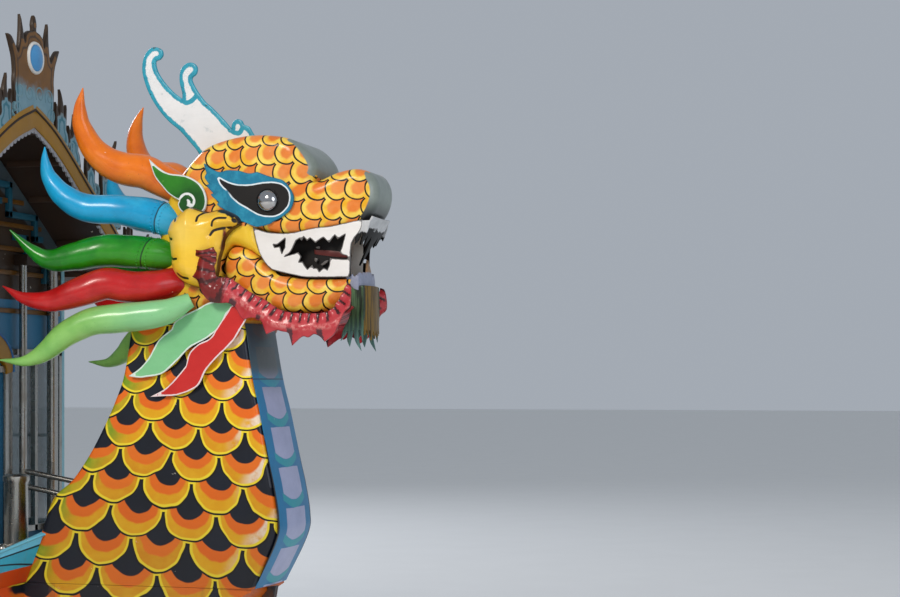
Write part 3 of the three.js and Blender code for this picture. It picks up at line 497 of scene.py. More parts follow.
def piece(name, places, faces, paint, slot, body="boat", stands_for=(), fields=None, sharp=40):
    """A finished mesh piece that rides on a body and takes the given finish."""
    mesh = bpy.data.meshes.new(name)
    mesh.from_pydata(np.asarray(places, float).tolist(), [], [tuple(map(int, f)) for f in faces])
    mesh.materials.append(paint)
    for key, values in (fields or {}).items():
        layer = mesh.attributes.new(key, "FLOAT", "POINT")
        layer.data.foreach_set("value", np.asarray(values, np.float32))
    work = bmesh.new()
    work.from_mesh(mesh)
    bmesh.ops.recalc_face_normals(work, faces=work.faces)
    work.to_mesh(mesh)
    work.free()
    mesh.polygons.foreach_set("use_smooth", np.ones(len(mesh.polygons), bool))
    mesh.set_sharp_from_angle(angle=math.radians(sharp))
    made = bpy.data.objects.new(name, mesh)
    bpy.context.scene.collection.objects.link(made)
    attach(made, body)
    if stands_for:
        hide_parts(*stands_for)


def both_sides(name, places, faces, paint, slot, stands_for=None, **rest):
    """The same piece to starboard, as given, and mirrored to port."""
    for side, sign in (("starboard", 1), ("port", -1)):
        nodes = [f"{stands_for}_{side}"] if stands_for else ()
        there = np.asarray(places, float) * (1, sign, 1)
        piece(f"{name}_{side}", there, faces, paint, slot=slot, stands_for=nodes, **rest)


# Figurehead

SKULL = [
    (-480, 197), (-372, 294), (-234, 339), (-68, 354), (98, 330), (200, 262), (247, 180), (226, 100, 1),
    (262, 110), (350, 150), (444, 168), (520, 146), (560, 90), (566, 20), (544, -50), (500, -112, 1),
    (400, -132), (250, -158), (113, -176), (0, -166), (-76, -140, 1), (-60, -222), (-24, -300, 1),
    (-66, -290), (-124, -255), (-217, -229), (-266, -292), (-278, -388), (-330, -520), (-430, -596),
    (-560, -560), (-640, -400), (-656, -200), (-610, 0), (-560, 110),
]
JAW = [
    (-257, -300), (-213, -237), (-122, -253), (-64, -300), (-10, -344), (44, -380), (120, -401),
    (217, -411), (425, -410, 1), (408, -470), (370, -530), (291, -581), (142, -592), (-7, -565),
    (-120, -515), (-205, -450), (-258, -385),
]
HEAD_HALF = [(-700, 200), (-450, 244), (-150, 254), (120, 250), (250, 216), (420, 178), (570, 160)]


PLAIN_GOLD = [
    (-700, 60), (-470, 30), (-420, -60), (-300, -70), (-210, -125), (-60, -150), (-60, -320),
    (-240, -260), (-700, -700, 1),
]


def head_half(x):
    """Half-breadth of the head at x from the eye."""
    table = np.array(HEAD_HALF) / 1000
    return np.interp(x, table[:, 0], table[:, 1])


def rounded_off(half, deep, edge, crown=0.003):
    """A face's height over the centreline: rounded at its edge and slightly crowned inside."""
    return half - edge + edge * quarter(deep, edge) + crown * np.clip(deep / 0.16, 0, 1) ** 0.8


def scale_fields(spots, walls, half, turn):
    """Pattern coordinates on a head block: tips point aft, and the pattern goes on over the top."""
    over = 2 * half * np.minimum(walls, 1 - walls)
    across = spots[:, 1] * math.cos(turn) - spots[:, 0] * math.sin(turn)
    along = -spots[:, 0] * math.cos(turn) - spots[:, 1] * math.sin(turn)
    return across + over * np.sign(spots[:, 1] - spots.mean(0)[1]), along


def head_block(name, outline, edge, share, node, paint, fields):
    """A block of the head, from side to side, with rounded sheet edges."""

    def near(spots, deep):
        return -share * rounded_off(head_half(spots[:, 0]), deep, edge)

    def far(spots, deep):
        return -near(spots, deep)

    line = spline(outline, HEAD_STEP)
    places, faces, spots, deep, walls = slab(line, near, far, grid=0.014, rounded=edge, wall=10)
    across, along = scale_fields(spots, walls, share * head_half(spots[:, 0]), math.radians(40))
    values = {"across": across, "along": along, **fields(spots, walls)}
    piece(name, places + EYE, faces, paint, slot="dragon_gold", stands_for=[node], fields=values, sharp=60)


def bare_strip(x, z, fore, high):
    """From 0 to 1 across the edge of the strip behind the outline's forward edge that has no scales."""
    line = spline(SKULL, HEAD_STEP)
    edge = np.array([p for p in line if fore[0] < p[0] < fore[1] and high[0] < p[1] < high[1]])
    edge = edge[np.argsort(edge[:, 1])]
    near = (x > fore[0] - 0.05) & (x < fore[1]) & (z > high[0]) & (z < high[1])
    behind = x - np.interp(z, edge[:, 1], edge[:, 0]) + BARE_WIDTH
    return np.where(near, np.clip(0.5 + behind / 0.02, 0, 1), 0.0)


def skull_fields(spots, walls):
    """Where the skull's front is bare, and where gold without scales is painted."""
    x, z = spots.T
    on_wall = (walls > 0) & (walls < 1)
    snout, brow = (x > 0.40) & (z < 0.165), (x > 0.12) & (x < 0.30) & (z > 0.12)
    front = np.where(on_wall & (snout | brow), 1.0, 0.0)
    front = np.maximum(front, bare_strip(x, z, (0.47, 0.70), (-0.13, 0.15)))
    front = np.maximum(front, bare_strip(x, z, (0.12, 0.30), (0.13, 0.34)))
    return {"front": front, "plain": depth(spots, spline(PLAIN_GOLD))}


def jaw_fields(spots, walls):
    """The jaw is bare at its front only, and nowhere plain gold."""
    front = (spots[:, 0] > 0.395) & (walls > 0) & (walls < 1)
    return {"front": np.where(front, 1.0, 0.0), "plain": np.full(len(spots), -1.0)}


head_paint = head_scales()
head_block("skull_sheet", SKULL, HEAD_EDGE, 1.0, "skull", head_paint, skull_fields)
head_block("jaw_sheet", JAW, 0.05, 0.97, "lower_jaw", head_paint, jaw_fields)


def plate(name, outline, out, thick, paint, slot, node=None, holes=(), rounded=0.003, grid=0.012, lines=None,
          sides=True, step=0.008, high=None, on_head=False):
    """A sheet-metal plate parallel to the centreline, on both sides of the head, with painted-line fields.

    Its inner face is out metres from the centreline, or from the head's side. lines names fields, each the
    distance of a vertex from painted strokes; high gives the field of that name a slope and a rise."""
    soft = min(rounded, thick * 0.45)

    def level(spots):
        return head_half(spots[:, 0]) + out if on_head else np.full(len(spots), out)

    def near(spots, deep):
        return -(level(spots) + thick - soft + soft * quarter(deep, soft))

    def far(spots, deep):
        return -level(spots)

    cuts = [spline(h, step) for h in holes]
    places, faces, spots, deep, walls = slab(spline(outline, step), near, far, cuts, grid, soft)
    fields = {"deep": np.where(walls > 0, 0.0, deep), "wall": walls}
    for key, strokes in (lines or {}).items():
        fields[key] = stroke_field(spots, strokes)
    if high:
        fields["high"] = spots[:, 1] * high[0] + high[1]
    if sides:
        both_sides(name, places + EYE, faces, paint, slot, node, fields=fields)
    else:
        piece(name, places + EYE, faces, paint, slot=slot, stands_for=[node] if node else (), fields=fields)


def stroke_field(spots, strokes):
    """Distance from the nearest of some open strokes."""
    return np.min([gap(spots, spline(s, 0.006, closed=False), closed=False) for s in strokes], axis=0)


def edged(name, low, high, rim, reach, wear=0.4):
    """A painted plate with a painted rim of another colour, its edge uneven from the brush."""
    paint = Paint(name)
    swing = (paint.noise(26.0, 3.0) - 0.5) * 0.008
    colour = paint.mix((paint.attribute("deep") + swing).below(reach, 0.0015),
                       paint.tones(low, high, 7.0, 4.0, 0.6), rim)
    return enamel(paint, colour, 0.3, wear)


# Eyes: a blue patch, a black almond with a white edge, and a polished ball

PATCH = [
    (-361, 205), (-333, 184, 1), (-295, 165), (-265, 158), (-229, 166), (-162, 162, 1), (-106, 146),
    (-59, 152, 1), (5, 128), (52, 115, 1), (87, 102), (122, 65), (144, 21), (142, -16), (122, -56), (79, -88),
    (36, -109), (5, -125), (-59, -137), (-90, -129, 1), (-130, -112), (-169, -99, 1), (-185, -75),
    (-241, -44, 1), (-285, -16), (-277, -2, 1), (-321, 37), (-309, 47, 1), (-345, 86), (-333, 97, 1),
    (-357, 131), (-347, 153, 1),
]
ALMOND = [
    (-275, 122, 1), (-241, 104), (-201, 88), (-154, 79), (-90, 80), (-27, 88), (36, 88), (83, 74), (111, 44),
    (118, 7), (107, -30), (79, -59), (44, -76), (-11, -77), (-59, -63), (-106, -36), (-154, -9), (-193, 22),
    (-225, 60), (-257, 89),
]
EYE_BALL = 0.0575
PATCH_BACK = 0.259  # the patch's inner face, out from the centreline
PATCH_FACE = PATCH_BACK + 0.006


def eye_paint():
    paint = Paint("eye_patch")
    almond = paint.attribute("almond")
    swing = (paint.noise(30.0, 3.0) - 0.5) * 0.008
    blue = paint.mix(paint.noise(7.0, 4.0, 0.65, stretch=(1, 1, 0.5)), "075a78", "128cae")
    blue = paint.mix((paint.noise(15.0, 4.0, 0.7) - almond * 2).step(0.62, 0.1) * 0.35, blue, "39a9c4")
    black = paint.tones("040404", "120c08", 9.0, 2.0)
    white = (almond + swing * 0.6).band(-0.0095, -0.002, 0.0015) * paint.noise(12.0, 3.0).step(0.3, 0.1)
    colour = paint.mix(almond.step(-0.003, 0.001), blue, black)
    colour = paint.mix(white, colour, "dfe9ec")
    edge = paint.attribute("deep").below(0.0035, 0.001)
    colour = paint.mix(edge * 0.5, colour, "0e4053")
    return enamel(paint, colour, 0.36, 0.25, coat=0.05)


def polished_steel():
    paint = Paint("eye_steel")
    fine = paint.noise(60.0, 4.0)
    haze = paint.noise(14.0, 3.0)
    colour = paint.mix(haze, "d2d0cd", "9d9da1")
    return paint.done(colour, 0.08 + fine * 0.1, 1.0, paint.relief(paint.noise(30.0, 2.0), 0.12, 0.002))


def ball(centre, radius, rings=24, steps=36, flat=1.0):
    """A round head of a ball, its pole sideways."""
    places, faces = [], []
    for r in range(rings + 1):
        tilt = math.pi * r / rings
        for s in range(steps):
            turn = 2 * math.pi * s / steps
            out = radius * math.sin(tilt)
            places.append((out * math.cos(turn), -radius * math.cos(tilt) * flat, out * math.sin(turn)))
    for r in range(rings):
        for s in range(steps):
            a, b = r * steps + s, r * steps + (s + 1) % steps
            faces.append((a, b, b + steps, a + steps))
    return np.array(places) + centre, faces


def merge(*parts):
    """Several meshes as one."""
    places, faces, first = [], [], 0
    for part_places, part_faces in parts:
        places.append(np.asarray(part_places, float))
        faces += [tuple(i + first for i in f) for f in part_faces]
        first += len(part_places)
    return np.vstack(places), faces


def eyes():
    places, faces, spots, deep, _ = slab(spline(PATCH, 0.006), -PATCH_FACE, -PATCH_BACK, grid=0.010)
    fields = {"almond": depth(spots, spline(ALMOND, 0.006)), "deep": deep}
    both_sides("eye_patch", places + EYE, faces, eye_paint(), "eye_steel", "eye", fields=fields)
    sphere = ball(EYE + (0, -PATCH_FACE, 0), EYE_BALL, flat=0.72)
    both_sides("eye_ball", *sphere, polished_steel(), "eye_steel")
    rim = ring_profile(EYE_BALL + 0.001, 0.006, 0.006)
    collar = turned(rim, EYE + (0, -PATCH_BACK - 0.004, 0), (0, -1, 0))
    both_sides("eye_collar", *collar, enamel(Paint("eye_socket"), "15110f", 0.5, 0.2), "eye_steel")


def ring_profile(radius, wide, high, steps=8):
    """A half-round bead about an axis: distances from the axis and along it."""
    turns = [math.pi * i / steps for i in range(steps + 1)]
    half = wide / 2
    return [(radius + half - half * math.cos(t), high * math.sin(t)) for t in turns] + [(radius, -0.001)]


def turned(profile, centre, axis, steps=32):
    """A closed profile (distance from the axis, distance along it) turned about an axis."""
    axis = Vector(axis).normalized()
    side = axis.orthogonal().normalized()
    other = axis.cross(side)
    places, faces = [], []
    for s in range(steps):
        turn = 2 * math.pi * s / steps
        way = side * math.cos(turn) + other * math.sin(turn)
        places += [np.array(centre) + np.array(way * r + axis * h) for r, h in profile]
    count = len(profile)
    for s in range(steps):
        for i in range(count):
            a, b = s * count, (s + 1) % steps * count
            j = (i + 1) % count
            faces.append((a + i, a + j, b + j, b + i))
    return np.array(places), faces


eyes()

# Mouth: white plates with ragged holes

MOUTH = [
    (-95, -133, 1), (-59, -150), (-12, -164), (52, -171), (115, -171), (162, -162), (240, -144), (318, -136),
    (388, -121), (488, -101, 1), (480, -152), (438, -210), (426, -261), (422, -371), (415, -404, 1),
    (271, -404), (193, -403), (115, -388), (52, -373), (8, -357), (-27, -323), (-55, -275), (-75, -215),
]
MOUTH_HOLE = [
    (162, -200, 1), (174, -212, 1), (184, -191, 1), (201, -212, 1), (217, -198, 1), (244, -224, 1),
    (264, -207), (285, -195, 1), (314, -222, 1), (344, -182, 1), (357, -204, 1), (398, -178, 1), (380, -245),
    (369, -276, 1), (384, -285), (407, -293), (410, -306), (392, -310), (318, -304, 1), (316, -339, 1),
    (305, -365, 1), (287, -354, 1), (264, -374, 1), (253, -357), (235, -356, 1), (227, -339, 1),
    (203, -361, 1), (189, -341, 1), (178, -321, 1), (160, -324, 1), (172, -296, 1), (156, -272, 1),
    (127, -283), (86, -293, 1), (116, -271), (134, -237), (146, -211, 1),
]
MOUTH_NOTCH = [
    (22, -230, 1), (40, -232), (87, -200, 1), (85, -244, 1), (69, -277, 1), (63, -256), (58, -241, 1),
    (28, -245, 1),
]


THROAT = [
    (-80, -140, 1), (60, -172), (240, -148), (400, -124, 1), (408, -260), (404, -408, 1), (200, -408),
    (60, -380), (-20, -330), (-60, -240),
]
TONGUE = [(203, -252, 1), (330, -262), (392, -282), (398, -296), (320, -292), (260, -284), (205, -276, 1)]
TONGUE_SLAB = [
    (-20, -415, 1), (-20, -332), (120, -302), (260, -264), (338, -264), (348, -284), (270, -302), (180, -342),
    (150, -425, 1),
]
BACK_TEETH = [
    [(214, -297, 1), (230, -303), (222, -320, 1), (213, -312)],
    [(248, -332, 1), (271, -315), (289, -310, 1), (282, -324), (256, -338)],
    [(220, -240, 1), (238, -236), (240, -246, 1), (226, -247)],
]


TONGUE_OUT = 0.1065  # how far out the tongue's sides begin


def mouth_paint():
    """White with a thin dark outline; the cut edges are black."""
    paint = Paint("mouth_white")
    swing = (paint.noise(60.0, 3.0) - 0.5) * 0.006
    white = paint.tones("f1eee9", "dcd6cf", 6.0, 4.0, 0.6)
    white = paint.mix((paint.attribute("deep") + swing).below(0.0045, 0.001) * 0.85, white, "2b2522")
    return enamel(paint, paint.mix(paint.attribute("wall").step(0.5, 0.01), white, "140d0c"), 0.34, 0.35)


def throat_shade_paint():
    """Painted shade inside the mouth: black on the faces that look away from the centreline, which show
    through the holes, pale on those that look to it.
    """
    paint = Paint("throat_black")
    _, across, _ = paint.place()
    _, outward, _ = paint.facing()
    dark = paint.tones("050404", "150e0c", 12.0, 3.0)
    return enamel(paint, paint.mix((across * outward).step(0.0, 0.001), "d8d4cc", dark), 0.5, 0.1, coat=0.0)


def mouth():
    white = mouth_paint()
    plate("mouth_white", MOUTH, -0.020, 0.008, white, "white_paint", "mouth_plate", [MOUTH_HOLE, MOUTH_NOTCH],
          rounded=0.002, step=0.006, on_head=True)
    # Painted shade: a board inside the mouth, black where the holes show it.
    plate("throat_board", THROAT, 0.100, 0.006, throat_shade_paint(), "black_paint", rounded=0.002)
    wet = Paint("tongue_red")
    red = enamel(wet, wet.tones("4a1614", "6c2620", 9.0, 3.0), 0.35, 0.2)
    plate("tongue_slab", TONGUE_SLAB, -0.075, 0.150, red, "mane_red", rounded=0.010, sides=False)
    plate("tongue_side", TONGUE, TONGUE_OUT, 0.003, red, "mane_red", rounded=0.001, step=0.006)
    for number, shape in enumerate(BACK_TEETH):
        plate(f"back_tooth_{number}", shape, TONGUE_OUT, 0.026, white, "white_paint", rounded=0.001,
              step=0.005)


mouth()

# Cheeks: golden lobed bulges with black brush strokes

CHEEK = [
    (-329, -51), (-377, -40), (-435, -26), (-490, -58, 1), (-535, -95), (-560, -153), (-553, -188, 1),
    (-545, -242), (-541, -286, 1), (-532, -350), (-502, -399), (-445, -439), (-361, -462), (-300, -440),
    (-275, -380), (-262, -300), (-245, -247), (-235, -199), (-193, -151), (-149, -123), (-160, -84),
    (-214, -53), (-266, -40),
]
CHEEK_STROKES = [
    [(-500, -49), (-511, -71), (-496, -101)], [(-555, -173), (-535, -193), (-511, -198)],
    [(-536, -286), (-509, -303), (-479, -304)], [(-487, -380), (-456, -400), (-420, -408)],
    [(-369, -106), (-366, -79), (-345, -60), (-317, -51)], [(-284, -132), (-275, -106), (-251, -93),
                                                            (-212, -92)],
    [(-300, -180), (-282, -159), (-256, -150), (-222, -143)],
    [(-318, -42), (-256, -49), (-193, -64), (-156, -103), (-162, -134), (-214, -142)],
    [(-268, -58), (-222, -62), (-186, -84), (-172, -112)],
]
CHEEK_SHADOW = [[(-226, -150), (-238, -199), (-252, -250)], [(-440, -438), (-361, -458), (-300, -438)]]


CHEEK_BACK, CHEEK_FAT, CHEEK_ROUND = 0.261, 0.118, 0.098  # inner face, swelling, and its edge's rounding
CHEEK_CURL = (-0.245, -0.098)  # the middle of the curl's extra swelling


def cheek_paint():
    """Gold with black brush strokes; dark red painted shadow at the folds, painted shade in brown round the
    edge, and a dark line along the edge.
    """
    paint = Paint("cheek_gold")
    swing, deep = paint.noise(20.0, 2.0), paint.attribute("deep")
    gold = paint.tones("f0b51c", "f6cf3e", 5.0, 4.0, 0.6)
    gold = paint.mix(paint.noise(3.0, 2.0).step(0.6, 0.15) * 0.5, gold, "f4dc7a")
    # Painted shade: brown where the bulge rolls away at its edge; the dark red marks along the shadow strokes
    # are painted shadow.
    gold = paint.mix(deep.below(0.012, 0.012) * 0.35, gold, "a9660f")
    gold = paint.mix((paint.attribute("shadow") / 0.007).below(1.0, 0.6), gold, "6b1710")
    thick = 0.0045 + swing * 0.004
    gold = paint.mix((paint.attribute("strokes") / thick).below(1.0, 0.25), gold, "140c08")
    gold = paint.mix((deep + (swing - 0.5) * 0.006).below(0.0095, 0.002) * 0.9, gold, "2c0d06")
    return enamel(paint, gold, 0.26, 0.35, 0.6)


def cheeks():
    def near(spots, deep):
        swell = quarter(deep, CHEEK_ROUND)
        pinch = np.exp(-((stroke_field(spots, CHEEK_STROKES) / 0.014) ** 2)) * 0.007 * np.clip(deep / 0.02, 0,
                                                                                               1)
        low = np.clip((spots[:, 0] + 0.42) / 0.12, 0, 1)
        curl = 0.030 * np.exp(-(((spots - CHEEK_CURL) / (0.10, 0.05)) ** 2).sum(1))
        bulge = CHEEK_FAT * swell * (1 - 0.35 * low) * (0.9 + 0.1 * np.clip(deep / 0.1, 0, 1))
        return -(CHEEK_BACK + bulge + curl * swell - pinch)

    places, faces, spots, deep, _ = slab(spline(CHEEK, 0.009), near, -CHEEK_BACK, (), 0.0055,
                                         CHEEK_ROUND * 0.3)
    fields = {"strokes": stroke_field(spots, CHEEK_STROKES), "shadow": stroke_field(spots, CHEEK_SHADOW),
              "deep": deep}
    both_sides("cheek_bulge", places + EYE, faces, cheek_paint(), "dragon_gold", "cheek", fields=fields,
               sharp=75)


cheeks()

# Ears: green leaves with a white edge and a white curl

EAR = [
    (-676, 238, 1), (-622, 192), (-564, 160), (-463, 143), (-399, 111), (-362, 71), (-344, 12), (-357, -42),
    (-400, -66), (-452, -66), (-490, -44), (-508, -10), (-500, 12, 1), (-558, 47), (-606, 98), (-644, 148),
]
EAR_LINES = [
    [(-508, -8), (-496, 22), (-470, 44), (-441, 44), (-418, 26), (-413, -2), (-430, -20), (-452, -12)],
    [(-448, -14), (-440, 2), (-452, 12)],
]
LEAF_OUT = 0.262  # inner faces of the ears and of the leaves behind the jaw


def ears():
    paint = Paint("ear_green")
    _, _, z = paint.place()
    # Painted light: the green is lighter higher up, as if lit from above, with flecks of painted highlight in
    # pale green.
    light = (paint.noise(5.0, 3.0) + (z - 3.1) * 1.2).step(0.42, 0.3)
    green = paint.mix(light, "0a4a0c", "2c8417")
    green = paint.mix(paint.noise(16.0, 4.0, 0.7).step(0.66, 0.06) * 0.4, green, "7cb44c")
    swing = (paint.noise(22.0, 3.0) - 0.5) * 0.006
    colour = paint.mix((paint.attribute("deep") + swing).below(0.0075, 0.0015), green, "d8dfda")
    colour = paint.mix((paint.attribute("line") + swing).below(0.0065, 0.0015), colour, "e4e8e4")
    plate("ear_leaf", EAR, LEAF_OUT, 0.014, enamel(paint, colour, 0.3, 0.5), "ear_green", "ear",
          rounded=0.006, lines={"line": EAR_LINES})


ears()

# Horns: white plates with a teal rim and a small side prong

HORN = [
    (-440, 200, 1), (-478, 250), (-510, 305), (-544, 345), (-613, 420), (-677, 472), (-726, 524), (-765, 576),
    (-800, 637), (-825, 701), (-838, 757), (-835, 812), (-816, 856), (-786, 883), (-751, 885), (-721, 869),
    (-715, 839), (-734, 816), (-756, 808), (-754, 776), (-736, 734), (-702, 687), (-653, 635), (-600, 595, 1),
    (-601, 629), (-615, 684), (-615, 733), (-600, 769), (-569, 791), (-535, 789), (-512, 765), (-517, 729),
    (-542, 707), (-537, 681), (-510, 634), (-466, 577), (-422, 539), (-349, 465), (-309, 418, 1), (-312, 432),
    (-300, 460), (-275, 473), (-250, 463), (-239, 442), (-208, 428), (-185, 391), (-140, 330, 1),
]
HORN_LINES = [
    [(-602, 592), (-572, 572), (-530, 592), (-505, 630)],
    [(-312, 424), (-296, 402), (-262, 398), (-240, 440)],
]


def horn():
    paint = Paint("horn_white")
    deep = paint.attribute("deep")
    swing = (paint.noise(28.0, 4.0, 0.7) - 0.5) * 0.022
    white = paint.tones("f2f2f0", "d9dedf", 6.0, 4.0, 0.6)
    white = paint.mix(paint.noise(18.0, 5.0, 0.7).step(0.63, 0.05) * 0.5, white, "b7c3c6")
    teal = paint.tones("12809c", "3ab0c4", 30.0, 3.0)
    colour = paint.mix((deep + swing).below(0.0235, 0.003), white, teal)
    colour = paint.mix((paint.attribute("line") + swing * 0.5).below(0.013, 0.002), colour, teal)
    nick = paint.noise(48.0, 3.0, 0.7).step(0.66, 0.03) * deep.below(0.016, 0.004)
    finish = enamel(paint, paint.mix(nick, colour, "2a2f2c"), 0.32, 0.4)
    plate("horn_plate", HORN, -0.007, 0.014, finish, "white_paint", "horn", rounded=0.005, grid=0.010,
          lines={"line": HORN_LINES}, sides=False)


horn()

# Flat leaves behind the jaw, mint and red, with white edges

MINT_LEAF = [
    (-160, -520), (-214, -524, 1), (-324, -531), (-400, -566), (-470, -596, 1), (-526, -632), (-547, -672, 1),
    (-622, -731), (-676, -819), (-730, -879), (-797, -923, 1), (-740, -931), (-697, -928), (-601, -909),
    (-515, -840), (-441, -771), (-345, -722), (-271, -664), (-229, -592), (-190, -560),
]
RED_LEAF = [
    (-130, -560), (-198, -545, 1), (-240, -605), (-282, -664), (-324, -722), (-388, -752), (-441, -800),
    (-462, -869, 1), (-515, -928), (-579, -988), (-668, -1034, 1), (-590, -1030), (-505, -1022), (-398, -978),
    (-345, -889), (-282, -821), (-198, -743), (-145, -665), (-115, -610),
]


def leaves():
    mint = edged("leaf_mint", "74c080", "90d09c", "dfeee4", 0.008, 0.5)
    red = edged("leaf_red", "c01f1c", "d4302c", "f0dcdc", 0.007)
    plate("leaf_mint", MINT_LEAF, LEAF_OUT, 0.005, mint, "mane_mint", "cheek_leaves", rounded=0.002)
    plate("leaf_red", RED_LEAF, LEAF_OUT + 0.006, 0.005, red, "mane_red", rounded=0.002)


leaves()

# The ruffle under the jaw: red, crimped against the jaw, scalloped at its lower edge

RUFFLE = [
    (-400, -252, 1), (-330, -262), (-272, -244, 1), (-255, -293), (-267, -352), (-251, -401), (-188, -410),
    (-105, -471), (-1, -526), (92, -580), (225, -596), (348, -585), (409, -516), (449, -440, 1), (471, -459),
    (473, -555), (439, -593), (412, -650, 1), (378, -708), (326, -745, 1), (300, -718), (266, -705),
    (235, -722), (205, -718), (143, -764, 1), (132, -725), (123, -697), (92, -690), (61, -684),
    (4, -704, 1), (-8, -676), (-22, -640), (-43, -623), (-80, -616), (-126, -626, 1), (-147, -607),
    (-175, -560), (-209, -538), (-250, -540), (-293, -532, 1), (-325, -498), (-345, -455), (-357, -419),
    (-395, -395), (-425, -369, 1), (-405, -340), (-384, -311),
]
JAW_EDGE = [
    (-262, -240), (-250, -293), (-262, -352), (-246, -401), (-180, -412), (-100, -474), (0, -530), (92, -584),
    (225, -598), (348, -588), (409, -520), (449, -440),
]


CRIMP = 0.048  # length of one crimp along the jaw
LINING = [(-60, -622), (40, -640), (140, -646), (250, -640), (330, -622), (400, -590), (436, -560)]


def ruffle_paint():
    """Red with a painted highlight on the roll, painted shade in each crimp's trough, dark in the folds,
    striped maroon at its aft end.
    """
    paint = Paint("ruffle_red")
    away, by = paint.attribute("away"), paint.attribute("by")
    swing = (paint.noise(26.0, 3.0) - 0.5) * 0.010
    off = away + swing
    red = paint.tones("b02a32", "cc4046", 9.0, 4.0, 0.6)
    # Painted highlight: a pale band along the crest of the roll.
    pale = off.band(0.060, 0.085, 0.012) * paint.noise(40.0, 4.0, 0.7).step(0.5, 0.08)
    red = paint.mix(pale * 0.45, red, "f2aca2")
    # Painted shade: dark in each crimp's trough next to the jaw.
    crimp_shade = off.below(0.050, 0.010) * (by / CRIMP + 0.25).fold().step(0.36, 0.05)
    red = paint.mix(crimp_shade * 0.95, red, "2a0a0c")
    folds = off.band(0.080, 0.16, 0.010) * (by / 0.150 + 0.42).fold().below(0.095, 0.02)
    red = paint.mix(folds * 0.9, red, "3c2c34")
    stripes = (by / 0.034 + away * 6).fold().step(0.33, 0.08)
    maroon = paint.mix(stripes * 0.8, paint.tones("64120f", "8d1c19", 12.0, 4.0), "1f0705")
    colour = paint.mix((by + swing).below(0.215, 0.03), red, maroon)
    colour = paint.mix(paint.attribute("deep").below(0.003, 0.001) * 0.5, colour, "5a161b")
    return enamel(paint, colour, 0.3, 0.4, 0.5)


def ruffles():
    jaw = spline(JAW_EDGE, 0.008, closed=False)
    reach = np.concatenate([[0], np.cumsum(np.linalg.norm(np.diff(jaw, axis=0), axis=1))])

    def follow(spots):
        """Distance from the jaw, and how far along it."""
        off = np.linalg.norm(spots[:, None] - jaw[None], axis=2)
        return off.min(1), reach[off.argmin(1)]

    def near(spots, deep):
        off, along = follow(spots)
        crimp = np.sin(along * 2 * math.pi / CRIMP) * np.clip(1 - off / 0.050, 0, 1) * 0.007
        fold = np.sin(along * 2 * math.pi / 0.130 + 0.6) * np.clip((off - 0.03) / 0.06, 0, 1) * 0.008
        roll = 0.022 * np.exp(-(((off - 0.070) / 0.038) ** 2))
        lift = 0.058 * (1 - np.clip((along - 0.17) / 0.16, 0, 1) ** 0.7)
        return -(0.290 + crimp + fold + roll + lift)

    def far(spots, deep):
        return near(spots, deep) + 0.008

    finish = ruffle_paint()
    places, faces, spots, deep, _ = slab(spline(RUFFLE, 0.007), near, far, (), 0.008)
    off, along = follow(spots)
    fields = {"away": off, "by": along, "deep": deep}
    both_sides("ruffle", places + EYE, faces, finish, "ruffle_red", fields=fields, sharp=70)
    across = np.linspace(-1, 1, 41)
    rows = [[(x / 1000, y * 0.286, z / 1000 - 0.006 * (i % 2)) for i, y in enumerate(across)] for x,
            z in LINING]
    rows = np.array(rows) + EYE
    places, faces = sheet(rows, rows + (0, 0, 0.006))
    fields = {"away": np.full(len(places), 0.03), "deep": np.full(len(places), 0.02),
              "by": places[:, 1] + 1.0}
    piece("ruffle_lining", places, faces, finish, slot="ruffle_red", stands_for=["chin_ruffle"],
          fields=fields, sharp=50)


def sheet(rows, other):
    """A plate between two layers of places, each in rows."""
    count, across = rows.shape[:2]
    half = count * across
    faces = []
    for r in range(count - 1):
        for c in range(across - 1):
            a = r * across + c
            quad = (a, a + 1, a + across + 1, a + across)
            faces += [quad, tuple(half + i for i in reversed(quad))]
    grid = np.arange(half).reshape(count, across)
    rim = [*grid[0], *grid[1:, -1], *grid[-1, -2::-1], *grid[-2:0:-1, 0]]
    for a, b in zip(rim, [*rim[1:], rim[0]]):
        faces.append((a, b, b + half, a + half))
    return np.vstack([rows.reshape(-1, 3), other.reshape(-1, 3)]), faces


ruffles()

# Front teeth, lip and beard

FANGS = [
    (-150, 20, 1), (-150, -100, 1), (-128, -146, 1), (-106, -84, 1), (-84, -150, 1), (-62, -84, 1),
    (-44, -120), (-10, -256, 1), (20, -130), (44, -82, 1), (64, -142, 1), (84, -80, 1), (102, -134, 1),
    (118, -78, 1), (132, -96, 1), (134, 20, 1),
]
FANG_SIDE = [
    (440, -108, 1), (428, -160), (404, -206, 1), (432, -206), (448, -180, 1), (446, -232, 1), (470, -206),
    (484, -170, 1), (502, -196, 1), (522, -148), (534, -106, 1),
]
LIP = [
    (-132, -70, 1), (-134, 10, 1), (-112, 26, 1), (-92, 10, 1), (-70, 28, 1), (-48, 10), (-28, 30),
    (4, 96, 1), (38, 34), (52, 8), (70, 26, 1), (92, 10, 1), (112, 28, 1), (134, 8, 1), (132, -70, 1),
]
LIP_SIDE = [
    (394, -376, 1), (408, -400), (425, -384, 1), (436, -400), (450, -390, 1), (462, -410), (460, -472, 1),
    (434, -462), (412, -436), (384, -396, 1),
]
BEARD_FRONT = [
    (-130, 0, 1), (-134, -150), (-122, -262, 1), (-104, -230), (-92, -262, 1), (-70, -232), (-54, -288, 1),
    (-28, -238), (-8, -280, 1), (14, -234), (38, -272, 1), (58, -230), (78, -262, 1), (98, -226),
    (120, -250, 1), (134, -150), (130, 0, 1),
]
BEARD_SIDE = [
    (412, -446, 1), (418, -560), (402, -624), (374, -672), (358, -738, 1), (388, -700), (398, -684, 1),
    (394, -730), (408, -768, 1), (422, -712), (430, -684, 1), (440, -740), (472, -790, 1), (458, -724),
    (462, -680), (480, -742, 1), (486, -660), (492, -560), (488, -446, 1),
]


